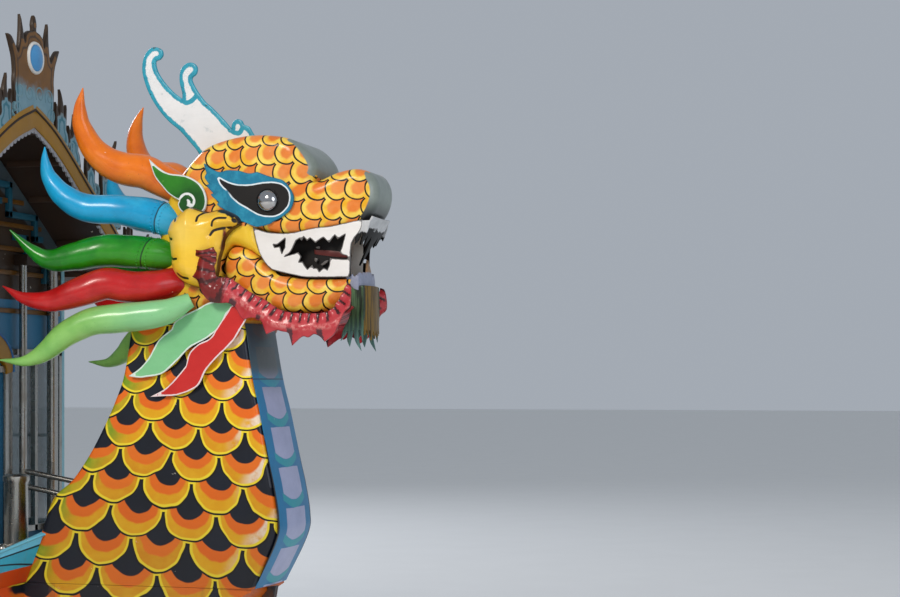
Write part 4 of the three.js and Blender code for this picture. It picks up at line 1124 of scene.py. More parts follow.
def front_plate(outline, place, thick, tilt, bulge):
    """A plate across the snout: outline in y and z, tilted about y, bowed forward in its middle."""

    def far(spots, deep):
        return bulge * (1 - (spots[:, 0] / 0.15) ** 2)

    def near(spots, deep):
        return thick + far(spots, deep)

    places, faces, spots, _, _ = slab(spline(outline), near, far)
    across, out, up = places.T
    tilted = np.stack([out * math.cos(tilt) - up * math.sin(tilt), across,
                       up * math.cos(tilt) + out * math.sin(tilt)], 1)
    return tilted + EYE + np.array(place) / 1000, faces, spots


def teeth():
    paint = Paint("fang_black")
    swing = (paint.noise(24.0, 4.0, 0.7) - 0.5) * 0.06
    grey = paint.tones("85898a", "e2e2e2", 14.0, 5.0, 0.7)
    colour = paint.mix((paint.attribute("high") + swing).step(-0.046, 0.006), "050505", grey)
    black = enamel(paint, colour, 0.42, 0.2, coat=0.05)
    places, faces, spots = front_plate(FANGS, (528, 0, -100), 0.010, -0.50, 0.016)
    piece("upper_fangs", places, faces, black, slot="black_paint", stands_for=["upper_teeth"],
          fields={"high": spots[:, 1]})
    plate("fang_side", FANG_SIDE, 0.150, 0.008, black, "black_paint", rounded=0.002, step=0.006,
          high=(1, 0.126))
    paint = Paint("lip_grey")
    tusk = paint.attribute("high").step(0.030, 0.006)
    colour = paint.mix(tusk, paint.tones("6e7488", "a4a8bc", 18.0, 5.0, 0.7),
                       paint.tones("3a2c24", "b08a62", 20.0))
    grey = enamel(paint, colour, 0.4, 0.4)
    places, faces, spots = front_plate(LIP, (446, 0, -404), 0.012, 0.10, 0.020)
    piece("lower_lip", places, faces, grey, slot="white_paint", stands_for=["lower_teeth"],
          fields={"high": spots[:, 1]})
    plate("lip_side", LIP_SIDE, 0.132, 0.010, grey, "white_paint", rounded=0.003, step=0.006, high=(0, 0.0))


def beard():
    paint = Paint("beard_green")
    _, _, z = paint.place()
    hair = paint.noise(1.0, 4.0, 0.6, stretch=(70.0, 70.0, 3.0))
    green = paint.mix(hair.step(0.5, 0.10), "142014", "4c6c46")
    green = paint.mix(z.below(2.32, 0.10) * 0.6, green, "5f8c8a")
    green = paint.mix(hair.step(0.62, 0.04) * 0.7, green, "0b1210")
    plate("beard_strands", BEARD_SIDE, 0.122, 0.014, enamel(paint, green, 0.42, 0.3, dents=0.2),
          "beard_green", rounded=0.006, grid=0.010)
    paint = Paint("beard_olive")
    strands = paint.noise(5.0, 4.0, 0.6, stretch=(1, 14, 1))
    olive = enamel(paint, paint.mix(strands.step(0.5, 0.16), "3c2c0a", "86640f"), 0.45, 0.5)
    places, faces, _ = front_plate(BEARD_FRONT, (470, 0, -446), 0.008, 0.02, 0.026)
    piece("beard_front", places, faces, olive, slot="beard_green", stands_for=["beard"])


teeth()
beard()

# Mane: ten hollow sheet-metal tentacles, glossy enamel, welded near their roots

MANE = {
    "orange": [
        (6.010, 0.130, 3.072, 0.080), (5.906, 0.150, 3.104, 0.084), (5.770, 0.185, 3.175, 0.092),
        (5.633, 0.240, 3.204, 0.086), (5.525, 0.285, 3.281, 0.070), (5.465, 0.330, 3.409, 0.051),
        (5.463, 0.358, 3.514, 0.032), (5.491, 0.380, 3.617, 0.003),
    ],
    "blue": [
        (5.960, 0.150, 2.893, 0.086), (5.814, 0.220, 2.942, 0.090), (5.663, 0.290, 2.967, 0.080),
        (5.488, 0.330, 2.980, 0.075), (5.371, 0.365, 3.045, 0.063), (5.301, 0.390, 3.141, 0.043),
        (5.285, 0.410, 3.225, 0.024), (5.292, 0.430, 3.302, 0.003),
    ],
    "green": [
        (5.930, 0.165, 2.726, 0.080), (5.759, 0.260, 2.741, 0.088), (5.601, 0.335, 2.747, 0.086),
        (5.460, 0.375, 2.720, 0.077), (5.318, 0.410, 2.699, 0.056), (5.218, 0.440, 2.752, 0.032),
        (5.107, 0.470, 2.859, 0.003),
    ],
    "red": [
        (5.975, 0.190, 2.590, 0.076), (5.850, 0.270, 2.556, 0.084), (5.740, 0.330, 2.551, 0.085),
        (5.627, 0.385, 2.567, 0.085), (5.484, 0.430, 2.520, 0.078), (5.340, 0.460, 2.477, 0.057),
        (5.196, 0.482, 2.494, 0.032), (5.081, 0.500, 2.558, 0.003),
    ],
    "mint": [
        (6.080, 0.300, 2.480, 0.040), (5.941, 0.350, 2.412, 0.070), (5.742, 0.385, 2.386, 0.078),
        (5.566, 0.425, 2.365, 0.074), (5.424, 0.455, 2.296, 0.067), (5.317, 0.480, 2.205, 0.051),
        (5.211, 0.505, 2.157, 0.028), (5.075, 0.530, 2.163, 0.003),
    ],
}
MANE_COLOURS = {  # body, light patches, shadow
    "orange": ("ee7a0a", "f89c38", "cf5c06"), "blue": ("10a4d6", "4cc8ea", "0a84b0"),
    "green": ("158a0c", "46a622", "0a620c"), "red": ("c81a1a", "dc4644", "980f10"),
    "mint": ("8fc867", "b6de98", "6aac4e"),
}
# Where the blue and the green tentacle are welded across
MANE_SEAM = {"foot": 5.785, "height": 2.652, "lean": 0.3125, "rivets": 0.020}


SEAMED = ("blue", "green")


def past_seam(x, z):
    """How far a point lies forward of the seam where two lengths are welded and riveted."""
    return x - (z - MANE_SEAM["height"]) * MANE_SEAM["lean"] - MANE_SEAM["foot"]


def curve(points, share):
    """Points of a Catmull-Rom curve through rows of values, at shares of its whole."""
    rows = np.asarray(points, float)
    at = np.clip(np.asarray(share) * (len(rows) - 1), 0, len(rows) - 1 - 1e-9)
    i = at.astype(int)
    t = (at - i)[:, None]
    padded = np.vstack([2 * rows[0] - rows[1], rows, 2 * rows[-1] - rows[-2]])
    a, b, c, d = (padded[i + k] for k in range(4))
    return 0.5 * (2 * b + (c - a) * t + (2 * a - 5 * b + 4 * c - d) * t * t + (3 * b - a - 3 * c + d) * t**3)


def skin(rings):
    """A skin over rings of places with equal counts; strips between a ring's two halves close its ends."""
    rings = np.asarray(rings, float)
    count, around = rings.shape[:2]
    faces = []
    for r in range(count - 1):
        for s in range(around):
            a, b = r * around + s, r * around + (s + 1) % around
            faces.append((a, b, b + around, a + around))
    for first in (0, (count - 1) * around):
        for i in range((around - 1) // 2):
            j = around - 1 - i
            faces.append(tuple(dict.fromkeys((first + i, first + i + 1, first + j - 1, first + j))))
    return rings.reshape(-1, 3), faces


def frames(line):
    """Two directions across a line at each of its points, carried along without twist."""
    way = np.gradient(line, axis=0)
    way /= np.linalg.norm(way, axis=1)[:, None]
    upright = abs(way[0][2]) > 0.9
    side = np.cross(way[0], (1.0, 0.0, 0.0) if upright else (0.0, 0.0, 1.0))
    sides = []
    for w in way:
        side = side - w * (side @ w)
        side /= np.linalg.norm(side)
        sides.append(side)
    sides = np.array(sides)
    return sides, np.cross(way, sides)


def circles(line, around):
    """Circles of radius 1 across a line, one at each of its points."""
    side, up = frames(line)
    turn = np.linspace(0, 2 * math.pi, around, endpoint=False)
    return side[:, None] * np.cos(turn)[None, :, None] + up[:, None] * np.sin(turn)[None, :, None], turn


def tube(points, steps, around, swell=None):
    """A tapering tube through points (x, y, z, radius); swell changes its radius along and around."""
    share = np.linspace(0, 1, steps)
    rows = curve(points, share)
    line, radius = rows[:, :3], np.maximum(rows[:, 3], 0.0015)
    out, turn = circles(line, around)
    grow = swell(share[:, None], turn[None]) if swell else np.ones((steps, around))
    return line[:, None] + out * (radius[:, None] * grow)[..., None], share, turn


def mane_paint(colour):
    body, light, shade = MANE_COLOURS[colour]
    paint = Paint("mane_" + colour)
    x, _, z = paint.place()
    skin_tone = paint.mix(paint.noise(6.0, 4.0, 0.6).step(0.42, 0.3), shade, body)
    skin_tone = paint.mix(paint.noise(4.0, 3.0).step(0.62, 0.1) * 0.4, skin_tone, light)
    fine = paint.noise(70.0, 3.0, 0.7)
    skin_tone = paint.mix(fine.step(0.66, 0.04) * 0.2, skin_tone, light)
    if colour in SEAMED:
        ahead = past_seam(x, z) + (paint.noise(20.0, 3.0) - 0.5) * 0.006
        skin_tone = paint.mix(ahead.step(0.0, 0.002) * 0.4, skin_tone, light)
        skin_tone = paint.mix(ahead.size().below(0.0035, 0.0015) * 0.85, skin_tone, "101010")
    if colour == "mint":
        skin_tone = paint.mix(x.step(5.70, 0.20) * 0.7, skin_tone, "8ccf9a")
    chip = paint.noise(13.0, 5.0, 0.65).step(0.715, 0.01)
    skin_tone = paint.mix(chip, skin_tone, "e9d6c6")
    skin_tone = paint.mix(paint.cells(34.0).below(0.06, 0.01) * 0.5, skin_tone, "20140e")
    bump = paint.noise(7.0, 3.0, 0.6) * 3 + fine * 0.4
    return paint.done(skin_tone, 0.27 + fine * 0.1 + chip * 0.3, relief=paint.relief(bump, 0.3, 0.003),
                      coat=0.35, Coat_Roughness=0.16, Specular_IOR_Level=0.35)


def seam_rivets(rings):
    """Where each row along a tentacle crosses the two lines of rivets beside its seam."""
    ahead = past_seam(rings[:, :, 0], rings[:, :, 2])
    spots = []
    for line in (-MANE_SEAM["rivets"], MANE_SEAM["rivets"]):
        off = ahead - line
        for r, s in zip(*np.nonzero(off[:-1] * off[1:] < 0)):
            share = off[r, s] / (off[r, s] - off[r + 1, s])
            spots.append(tuple(rings[r, s] * (1 - share) + rings[r + 1, s] * share))
    return spots


def dents(share, turn):
    """Slow unevenness of a tentacle's radius along and around it."""
    return 1 + 0.02 * np.sin(9 * share * 3 + 2 * turn) * np.sin(21 * share + turn)


def mane():
    for colour, points in MANE.items():
        rings, _, _ = tube([(x, -y, z, r) for x, y, z, r in points], 72, 28, dents)
        finish, node = mane_paint(colour), "mane_" + colour
        both_sides("tentacle_" + colour, *skin(rings), finish, node, node, sharp=60)
        if colour in SEAMED:
            both_sides("seam_rivets_" + colour, *studs(seam_rivets(rings), 0.0045), finish, node)


# Neck: flat scaled sides between its aft and fore edges, and the belly strip down its front

NECK_AFT = [
    (5.062, 0.952), (5.167, 1.213), (5.243, 1.409), (5.357, 1.513), (5.457, 1.652), (5.544, 1.812),
    (5.606, 1.948), (5.655, 2.096), (5.700, 2.396),
]
NECK_FORE = [
    (6.414, 0.952), (6.537, 1.210), (6.549, 1.330), (6.525, 1.486), (6.500, 1.600), (6.472, 1.735),
    (6.440, 1.890), (6.396, 2.080), (6.345, 2.396),
]
NECK_HALF = [0.262, 0.262, 0.262, 0.259, 0.255, 0.249, 0.243, 0.235, 0.224]
NECK_CHAMFER = 0.028


def neck():
    share = np.linspace(0, 1, 90)
    aft, fore = curve(NECK_AFT, share), curve(NECK_FORE, share)
    long = np.linalg.norm(fore - aft, axis=1)
    half = np.interp(share, np.linspace(0, 1, len(NECK_HALF)), NECK_HALF)
    rim = np.linspace(0, 0.06, 7)[:-1]
    across = np.concatenate([rim, np.linspace(0.06, 0.94, 26), np.linspace(0.94, 1, 7)[1:]])
    rings, gaps = [], []
    for a, f, h, breadth in zip(aft, fore, half, long):
        off = across * breadth
        corner = quarter(np.minimum(off, breadth - off), NECK_CHAMFER)
        y = h - NECK_CHAMFER + NECK_CHAMFER * corner
        side = [(a[0] + (f[0] - a[0]) * t, yy, a[1] + (f[1] - a[1]) * t) for t, yy in zip(across, y)]
        rings.append(side + [(x, -yy, z) for x, yy, z in reversed(side)])
        gaps.append(np.concatenate([off, off[::-1]]))
    places, faces = skin(rings)
    off = np.array(gaps)
    fields = {"aft_gap": off.ravel(), "fore_gap": (long[:, None] - off).ravel()}
    piece("neck_sheet", places, faces, neck_scales(), slot="dragon_scales", stands_for=["neck"],
          fields=fields)


def belly_paint():
    """Blue strip of lapped lilac panels with teal foots, darker near the head as painted shade under the jaw,
    cloud scrolls low down.
    """
    paint = Paint("belly_blue")
    down, side = paint.attribute("down"), paint.attribute("side")
    pitch, half = 0.220, 0.165
    reach = side.size()
    swing = (paint.noise(14.0, 3.0) - 0.5) * 0.03
    lap = down + 0.096 + swing * 0.3
    below = lap - (lap / pitch).floor() * pitch
    past_arc = below - (pitch * 0.80 - (side / half) ** 2 * 0.050)
    # Painted shade: the panels and the teal turn grey and dark near the top, under the jaw.
    high = down.below(0.32, 0.12)
    lilac = paint.mix(high * 0.75, paint.tones("b4b8d4", "8b92b4", 5.0, 4.0, 0.65), "5a646c")
    panel = (reach + swing * 0.2).below(half * 0.86, 0.003) * past_arc.below(0.0, 0.003)
    colour = paint.mix(panel, paint.tones("065f8c", "1280b0", 6.0, 4.0, 0.6), lilac)
    teal = past_arc.band(0.002, 0.044, 0.003) * reach.below(half * 0.95, 0.003)
    colour = paint.mix(teal * (1 - high * 0.6), colour, "1f93a0")
    colour = paint.mix(down.below(0.27, 0.05) * 0.85, colour, "39443f")
    colour = paint.mix((down - 0.30).size().below(0.004, 0.002) * 0.8, colour, "0c3a54")
    colour = paint.mix(reach.step(0.236, 0.002), colour, "12181c")
    foam = paint.mix(scrolls(paint, side, down * -1, 0.17).step(0.30, 0.03), "e2e6e4", "1b86ad")
    return enamel(paint, paint.mix(down.step(1.52, 0.01), colour, foam), 0.34, 0.6)


def belly():
    share = np.linspace(0, 0.985, 80)
    fore = curve(NECK_FORE, share)
    half = np.interp(share, np.linspace(0, 1, len(NECK_HALF)), NECK_HALF) - 0.012
    half = half * np.clip(0.93 + share * 0.9, 0, 1)
    long = np.concatenate([[0], np.cumsum(np.linalg.norm(np.diff(fore, axis=0), axis=1))])
    across = np.linspace(-1, 1, 33)
    rise = 0.016 - 0.013 * across**2
    rows = np.array([[(x + 0.0005 + r, h * t, z) for t, r in zip(across, rise)]
                     for (x, z), h in zip(fore, half)])
    base = rows.copy()
    base[:, :, 0] = fore[:, None, 0] + 0.0005
    fields = {"down": np.tile(np.repeat(long[-1] - long, len(across)), 2),
              "side": np.tile((half[:, None] * across).ravel(), 2)}
    piece("belly_strip", *sheet(rows, base), belly_paint(), slot="belly_paint", stands_for=["neck_belly"],
          fields=fields)


neck()
belly()

# Forms: blocks, bars, boards and what repeats


def box(lo, hi, bevel=0.004, segments=2):
    """A block from one corner to the opposite one, with rounded edges."""
    lo, hi = np.array(lo), np.array(hi)
    work = bmesh.new()
    bmesh.ops.create_cube(work, size=1.0)
    for vert in work.verts:
        vert.co = (lo + hi) / 2 + np.array(vert.co) * (hi - lo)
    if bevel:
        bmesh.ops.bevel(work, geom=work.edges[:], offset=bevel, segments=segments, affect="EDGES",
                        profile=0.5)
    work.verts.index_update()
    places = np.array([tuple(v.co) for v in work.verts])
    faces = [tuple(v.index for v in f.verts) for f in work.faces]
    work.free()
    return places, faces


def softened(points, reach, steps=7):
    """A line of straight stretches with its corners rounded."""
    points = [np.array(p, float) for p in points]
    line = [points[0]]
    for a, b, c in zip(points, points[1:], points[2:]):
        u, v = a - b, c - b
        short = min(reach, np.linalg.norm(u) * 0.45, np.linalg.norm(v) * 0.45)
        p, q = b + u / np.linalg.norm(u) * short, b + v / np.linalg.norm(v) * short
        line += [p * (1 - t) ** 2 + 2 * b * t * (1 - t) + q * t * t for t in np.linspace(0, 1, steps)]
    return np.array([*line, points[-1]])


def bar(points, radius, around=14, reach=0.0):
    """A round bar along a line, with slightly rounded ends."""
    line = softened(points, reach) if reach else np.array(points, float)
    circle, _ = circles(line, around)
    lip = radius * 0.18

    def end(spot, out, ring_here):
        return spot + out / np.linalg.norm(out) * lip + ring_here * (radius - lip)

    first = end(line[0], line[0] - line[1], circle[0])
    last = end(line[-1], line[-1] - line[-2], circle[-1])
    return skin(np.array([first, *(line[:, None] + circle * radius), last]))


def board(outline, thick, lay, soft=0.004, grid=0.04, step=0.03):
    """A board with softened edges; lay gives places from across, up and out."""
    soft = min(soft, thick * 0.45)

    def near(spots, deep):
        return thick - soft + soft * quarter(deep, soft)

    places, faces, _, deep, walls = slab(spline(outline, step), near, 0.0, (), grid, soft)
    across, out, up = places.T
    return lay(across, up, out), faces, np.where(walls > 0, 0, deep)


def athwart(x, way=1):
    """How a board across the boat lies: its face looks forward, or aft."""

    def lay(across, up, out):
        return np.stack([x + way * out, across, up], 1)

    return lay


def fore_and_aft(y, way=-1):
    """How a board along the boat lies: its face looks to starboard, or port."""

    def lay(across, up, out):
        return np.stack([across, y + way * out, up], 1)

    return lay


def works(name, sizes, build):
    """A Geometry Nodes tree with named sizes; build adds its nodes and gives what comes out."""
    tree = bpy.data.node_groups.new(name, "GeometryNodeTree")
    for key, kind in {"Geometry": "Geometry", **sizes, "Finish": "Material"}.items():
        tree.interface.new_socket(key, in_out="INPUT", socket_type="NodeSocket" + kind)
    tree.interface.new_socket("Geometry", in_out="OUTPUT", socket_type="NodeSocketGeometry")
    start, end = tree.nodes.new("NodeGroupInput"), tree.nodes.new("NodeGroupOutput")

    def add(kind, inputs=None, **settings):
        made = tree.nodes.new(kind)
        for key, value in settings.items():
            setattr(made, key, value)
        for key, value in (inputs or {}).items():
            if isinstance(value, bpy.types.NodeSocket):
                tree.links.new(value, made.inputs[key])
            else:
                made.inputs[key].default_value = value
        return made.outputs[0]

    given = {s.name: s for s in start.outputs}
    whole = add("GeometryNodeRealizeInstances", {0: build(add, given)})
    finished = add("GeometryNodeSetMaterial", {"Geometry": whole, "Material": given["Finish"]})
    tree.links.new(finished, end.inputs[0])
    return tree


def worked(tree, places, edges=(), **sizes):
    """What a tree makes from points or a path, as places and faces."""
    mesh = bpy.data.meshes.new("guide")
    mesh.from_pydata([tuple(map(float, p)) for p in places], [tuple(e) for e in edges], [])
    guide = bpy.data.objects.new("guide", mesh)
    bpy.context.scene.collection.objects.link(guide)
    step = guide.modifiers.new("works", "NODES")
    step.node_group = tree
    for item in tree.interface.items_tree:
        if item.in_out == "INPUT" and item.name in sizes:
            step[item.identifier] = sizes[item.name]
    made = bpy.data.meshes.new_from_object(guide.evaluated_get(bpy.context.evaluated_depsgraph_get()))
    bpy.data.objects.remove(guide)
    bpy.data.meshes.remove(mesh)
    places = np.array([tuple(v.co) for v in made.vertices])
    faces = [tuple(f.vertices) for f in made.polygons]
    bpy.data.meshes.remove(made)
    return places, faces


def row_nodes(add, given):
    line = add("GeometryNodeMeshLine", {k: given[k] for k in ("Count", "Start Location", "Offset")})
    block = add("GeometryNodeMeshCube", {"Size": given["Size"]})
    return add("GeometryNodeInstanceOnPoints", {"Points": line, "Instance": block, "Rotation": given["Turn"]})


def stud_nodes(add, given):
    head = add("GeometryNodeMeshUVSphere", {"Segments": 10, "Rings": 6, "Radius": given["Radius"]})
    spread = {"Points": given["Geometry"], "Instance": head, "Scale": given["Flat"]}
    return add("GeometryNodeInstanceOnPoints", spread)


def ridge_nodes(add, given):
    path = add("GeometryNodeMeshToCurve", {0: given["Geometry"]})
    section = add("GeometryNodeCurvePrimitiveCircle", {"Resolution": 10, "Radius": given["Radius"]})
    ridge = add("GeometryNodeCurveToMesh", {"Curve": path, "Profile Curve": section, "Fill Caps": True})
    line = add("GeometryNodeMeshLine", {"Count": given["Count"], "Offset": given["Offset"]})
    return add("GeometryNodeInstanceOnPoints", {"Points": line, "Instance": ridge})


def disc_nodes(add, given):
    disc = add("GeometryNodeMeshCylinder", {"Vertices": 16, "Radius": given["Radius"],
                                            "Depth": given["Thick"]})
    spread = {"Points": given["Geometry"], "Instance": disc, "Rotation": given["Turn"]}
    return add("GeometryNodeInstanceOnPoints", spread)


def frame_nodes(add, given):
    """A window frame of four bars and a middle one, round each point."""

    def reckon(operation, a, b):
        return add("ShaderNodeMath", {0: a, 1: b}, operation=operation)

    def bar_at(size, place):
        cube = add("GeometryNodeMeshCube", {"Size": add("ShaderNodeCombineXYZ", size)})
        return add("GeometryNodeTransform", {"Geometry": cube,
                                             "Translation": add("ShaderNodeCombineXYZ", place)})

    half_bar = reckon("MULTIPLY", given["Bar"], 0.5)
    aside, above = (reckon("SUBTRACT", reckon("MULTIPLY", given[k], 0.5), half_bar) for k in ("Width",
                                                                                              "Height"))
    left, under = (reckon("MULTIPLY", s, -1.0) for s in (aside, above))
    upright = {0: given["Bar"], 1: given["Deep"], 2: given["Height"]}
    level = {0: given["Width"], 1: given["Deep"], 2: given["Bar"]}
    bars = [bar_at(upright, {0: aside}), bar_at(upright, {0: left}), bar_at(level, {2: above}),
            bar_at(level, {2: under}), bar_at(upright, {})]
    together = add("GeometryNodeJoinGeometry")
    for one in reversed(bars):
        together.id_data.links.new(one, together.node.inputs[0])
    spread = {"Points": given["Geometry"], "Instance": together, "Rotation": given["Turn"]}
    return add("GeometryNodeInstanceOnPoints", spread)


LINE_SIZES = {"Count": "Int", "Start Location": "Vector", "Offset": "Vector", "Size": "Vector"}
ROW = works("row", {**LINE_SIZES, "Turn": "Rotation"}, row_nodes)
STUDS = works("studs", {"Radius": "Float", "Flat": "Vector"}, stud_nodes)
RIDGES = works("ridges", {"Count": "Int", "Offset": "Vector", "Radius": "Float"}, ridge_nodes)
DISCS = works("discs", {"Radius": "Float", "Thick": "Float", "Turn": "Rotation"}, disc_nodes)
FRAMES = works(
    "window frames",
    {"Width": "Float", "Height": "Float", "Bar": "Float", "Deep": "Float", "Turn": "Rotation"}, frame_nodes,
)


def row(count, start, offset, size, turn):
    """A straight row of equal blocks."""
    sizes = {"Start Location": start, "Offset": offset, "Size": size, "Turn": turn}
    return worked(ROW, [(0, 0, 0)], Count=count, **sizes)


def studs(places, radius, flat=(1, 1, 1)):
    """Round heads of rivets or bolts at places."""
    return worked(STUDS, places, Radius=radius, Flat=flat)


def mirrored(part):
    """The same places and faces on the other side of the centreline."""
    return np.asarray(part[0]) * (1, -1, 1), part[1]


def both(*parts):
    """Parts of the starboard side, with their copies to port."""
    return merge(*parts, *[mirrored(p) for p in parts])


def glide(x, places, values):
    """A smooth line through values that never swings past them."""
    places, values = np.asarray(places, float), np.asarray(values, float)
    width = np.diff(places)
    slope = np.diff(values) / width
    lean = np.zeros(len(places))
    lean[0], lean[-1] = slope[0], slope[-1]
    same = slope[:-1] * slope[1:] > 0
    lean[1:-1][same] = 2 * slope[:-1][same] * slope[1:][same] / (slope[:-1] + slope[1:])[same]
    i = np.clip(np.searchsorted(places, x, side="right") - 1, 0, len(width) - 1)
    t = (np.asarray(x) - places[i]) / width[i]
    a, b = values[i], values[i + 1]
    bend = (lean[i] * (1 - t) - lean[i + 1] * t) * width[i] + (b - a) * (2 * t - 1)
    return a + (b - a) * t + t * (1 - t) * bend


mane()

# Plain finishes


def painted(name, light, dark, gloss=0.36, wear=0.6, scale=3.0):
    """Enamel of one colour that has faded unevenly."""
    paint = Paint(name)
    return enamel(paint, paint.tones(dark, light, scale, 4.0, 0.6), gloss, wear)


def stainless(name="stainless", stained=0.5):
    paint = Paint(name)
    fine = paint.noise(90.0, 2.0, stretch=(1, 1, 0.1))
    stain = paint.noise(5.0, 4.0, 0.65).step(0.6, 0.15)
    colour = paint.mix(stain * stained, "b4b3ae", "7d6f5e")
    return paint.done(colour, 0.2 + fine * 0.12 + stain * 0.2, 1.0, paint.relief(fine, 0.05, 0.0005))


def black_iron():
    paint = Paint("black_iron")
    rust = (paint.noise(7.0, 6.0, 0.7) + paint.noise(40.0, 3.0) * 0.2).step(0.66, 0.06)
    colour = paint.tones("101113", "25272a", 9.0, 3.0)
    colour = paint.mix(rust * 0.75, colour, paint.tones("3d2212", "7d4a25", 25.0))
    height = paint.noise(26.0, 5.0, 0.7) + rust * 0.6
    return paint.done(colour, 0.5 + rust * 0.35, 0.0, paint.relief(height, 0.5, 0.003), coat=0.1)


def bronze():
    paint = Paint("bronze")
    fine = paint.noise(30.0, 5.0, 0.7)
    green = paint.noise(6.0, 5.0, 0.65).step(0.6, 0.08)
    colour = paint.mix(fine, "8a6530", "b58a4a")
    colour = paint.mix(green * 0.5, colour, "5c7a62")
    return paint.done(colour, 0.32 + green * 0.4, 1.0 - green * 0.6, paint.relief(fine, 0.25, 0.001))


def glass():
    paint = Paint("window_glass")
    grime = paint.noise(3.0, 5.0, 0.7)
    colour = paint.mix(grime, "7f959c", "54707a")
    return paint.done(colour, 0.04 + grime * 0.08, 0.0, paint.relief(paint.noise(0.8, 2.0), 0.1, 0.002),
                      Alpha=0.40)


def rubber():
    paint = Paint("rubber")
    return paint.done("17181a", 0.6 + paint.noise(20.0) * 0.2, 0.0,
                      paint.relief(paint.noise(60.0), 0.1, 0.001))


STEEL = stainless()
WORN_STEEL = stainless("worn_steel", 0.75)
IRON = black_iron()
LIGHT_BLUE = painted("light_blue", "7cc4d6", "4fa3be")
DEEP_BLUE = painted("deep_blue", "2f74b5", "1d5590")
WHITE = painted("white_enamel", "ecebe4", "d4d3cb")
CREAM = painted("cream_enamel", "efe7cc", "d6cba8")
OCHRE = painted("ochre_enamel", "ae8010", "8a620a")
YELLOW = painted("yellow_enamel", "f3c41c", "e0a912")
RED = painted("red_enamel", "c0392f", "9c2a24")
GOLD_BROWN = painted("gold_brown", "7c5210", "4a2f0c", scale=6.0)
DARK_WOOD = painted("dark_wood", "38261a", "1e140e", 0.6, 0.3, 7.0)
FRET_TEAL = painted("fret_teal", "1f6476", "12465c", 0.45, 0.5, 6.0)
CREST_BLUE = painted("crest_blue", "5aa8dc", "3a84c0")
SCROLL_GREY = painted("scroll_grey", "7fa4ac", "4f7c88")
LACE_GREY = painted("lace_grey", "b4b6ba", "8f9297")
GLASS = glass()
RUBBER = rubber()


def carried(node, paint):
    """A CAD piece keeps its shape and takes a finish."""
    for slot in bpy.data.objects[node].material_slots:
        slot.material = paint


# Hull: smooth plating through its stations

# Columns: place along the boat, half-breadth and height of the deck edge, top of the bulwark,
# half-breadth and height of the chine, height of the keel
HULL = [
    (-6.90, 1.00, 0.78, 1.02, 0.78, 0.24, 0.13), (-6.20, 1.22, 0.72, 0.94, 1.01, 0.09, 0.02),
    (-5.20, 1.35, 0.65, 0.86, 1.16, -0.08, -0.18), (-4.20, 1.41, 0.60, 0.80, 1.24, -0.19, -0.40),
    (-2.00, 1.45, 0.56, 0.75, 1.30, -0.23, -0.42), (0.00, 1.45, 0.55, 0.74, 1.30, -0.23, -0.42),
    (2.00, 1.43, 0.58, 0.78, 1.22, -0.20, -0.42), (3.20, 1.39, 0.65, 0.86, 0.95, -0.11, -0.42),
    (4.00, 1.33, 0.73, 0.95, 0.65, 0.04, -0.33), (4.50, 1.25, 0.81, 1.025, 0.46, 0.20, -0.18),
    (4.80, 1.08, 0.87, 1.065, 0.35, 0.33, -0.07), (4.96, 0.82, 0.91, 1.095, 0.30, 0.42, 0.005),
    (5.03, 0.56, 0.93, 1.12, 0.27, 0.47, 0.035),
]
# Fore foot: place along the boat, half-breadth of its flat sides, height where they close in, keel
FORE_FOOT = [
    (5.08, 0.262, 0.52, 0.06), (5.40, 0.262, 0.60, 0.19), (5.75, 0.262, 0.68, 0.38),
    (6.05, 0.258, 0.78, 0.58), (6.28, 0.250, 0.88, 0.78), (6.40, 0.245, 0.935, 0.92),
]
FORE_FOOT_TOP = 0.95
KEEL_HALF = 0.03
STATIONS = [s[0] for s in HULL]
STERN = STATIONS[0]


def along(x, column):
    """A value of the hull's table at any place along the boat."""
    return glide(x, STATIONS, [s[column] for s in HULL])


def hull_section(s):
    """Half-breadth and height of six points from the deck edge down to the keel."""
    _, deck, deck_z, _, chine, chine_z, keel = s
    return [
        (deck, deck_z), (chine + (deck - chine) * 0.6, chine_z + (deck_z - chine_z) * 0.6),
        (chine + (deck - chine) * 0.22, chine_z + (deck_z - chine_z) * 0.25), (chine, chine_z),
        (KEEL_HALF + (chine - KEEL_HALF) * 0.55, keel + (chine_z - keel) * 0.35), (KEEL_HALF, keel),
    ]


def foot_section(s):
    _, side, low, keel = s
    top = FORE_FOOT_TOP
    return [
        (side, top), (side, top - 0.5 * (top - low)), (side, low),
        (KEEL_HALF + (side - KEEL_HALF) * 0.8, low + 0.35 * (keel - low)),
        (KEEL_HALF + (side - KEEL_HALF) * 0.42, low + 0.72 * (keel - low)), (KEEL_HALF, keel),
    ]


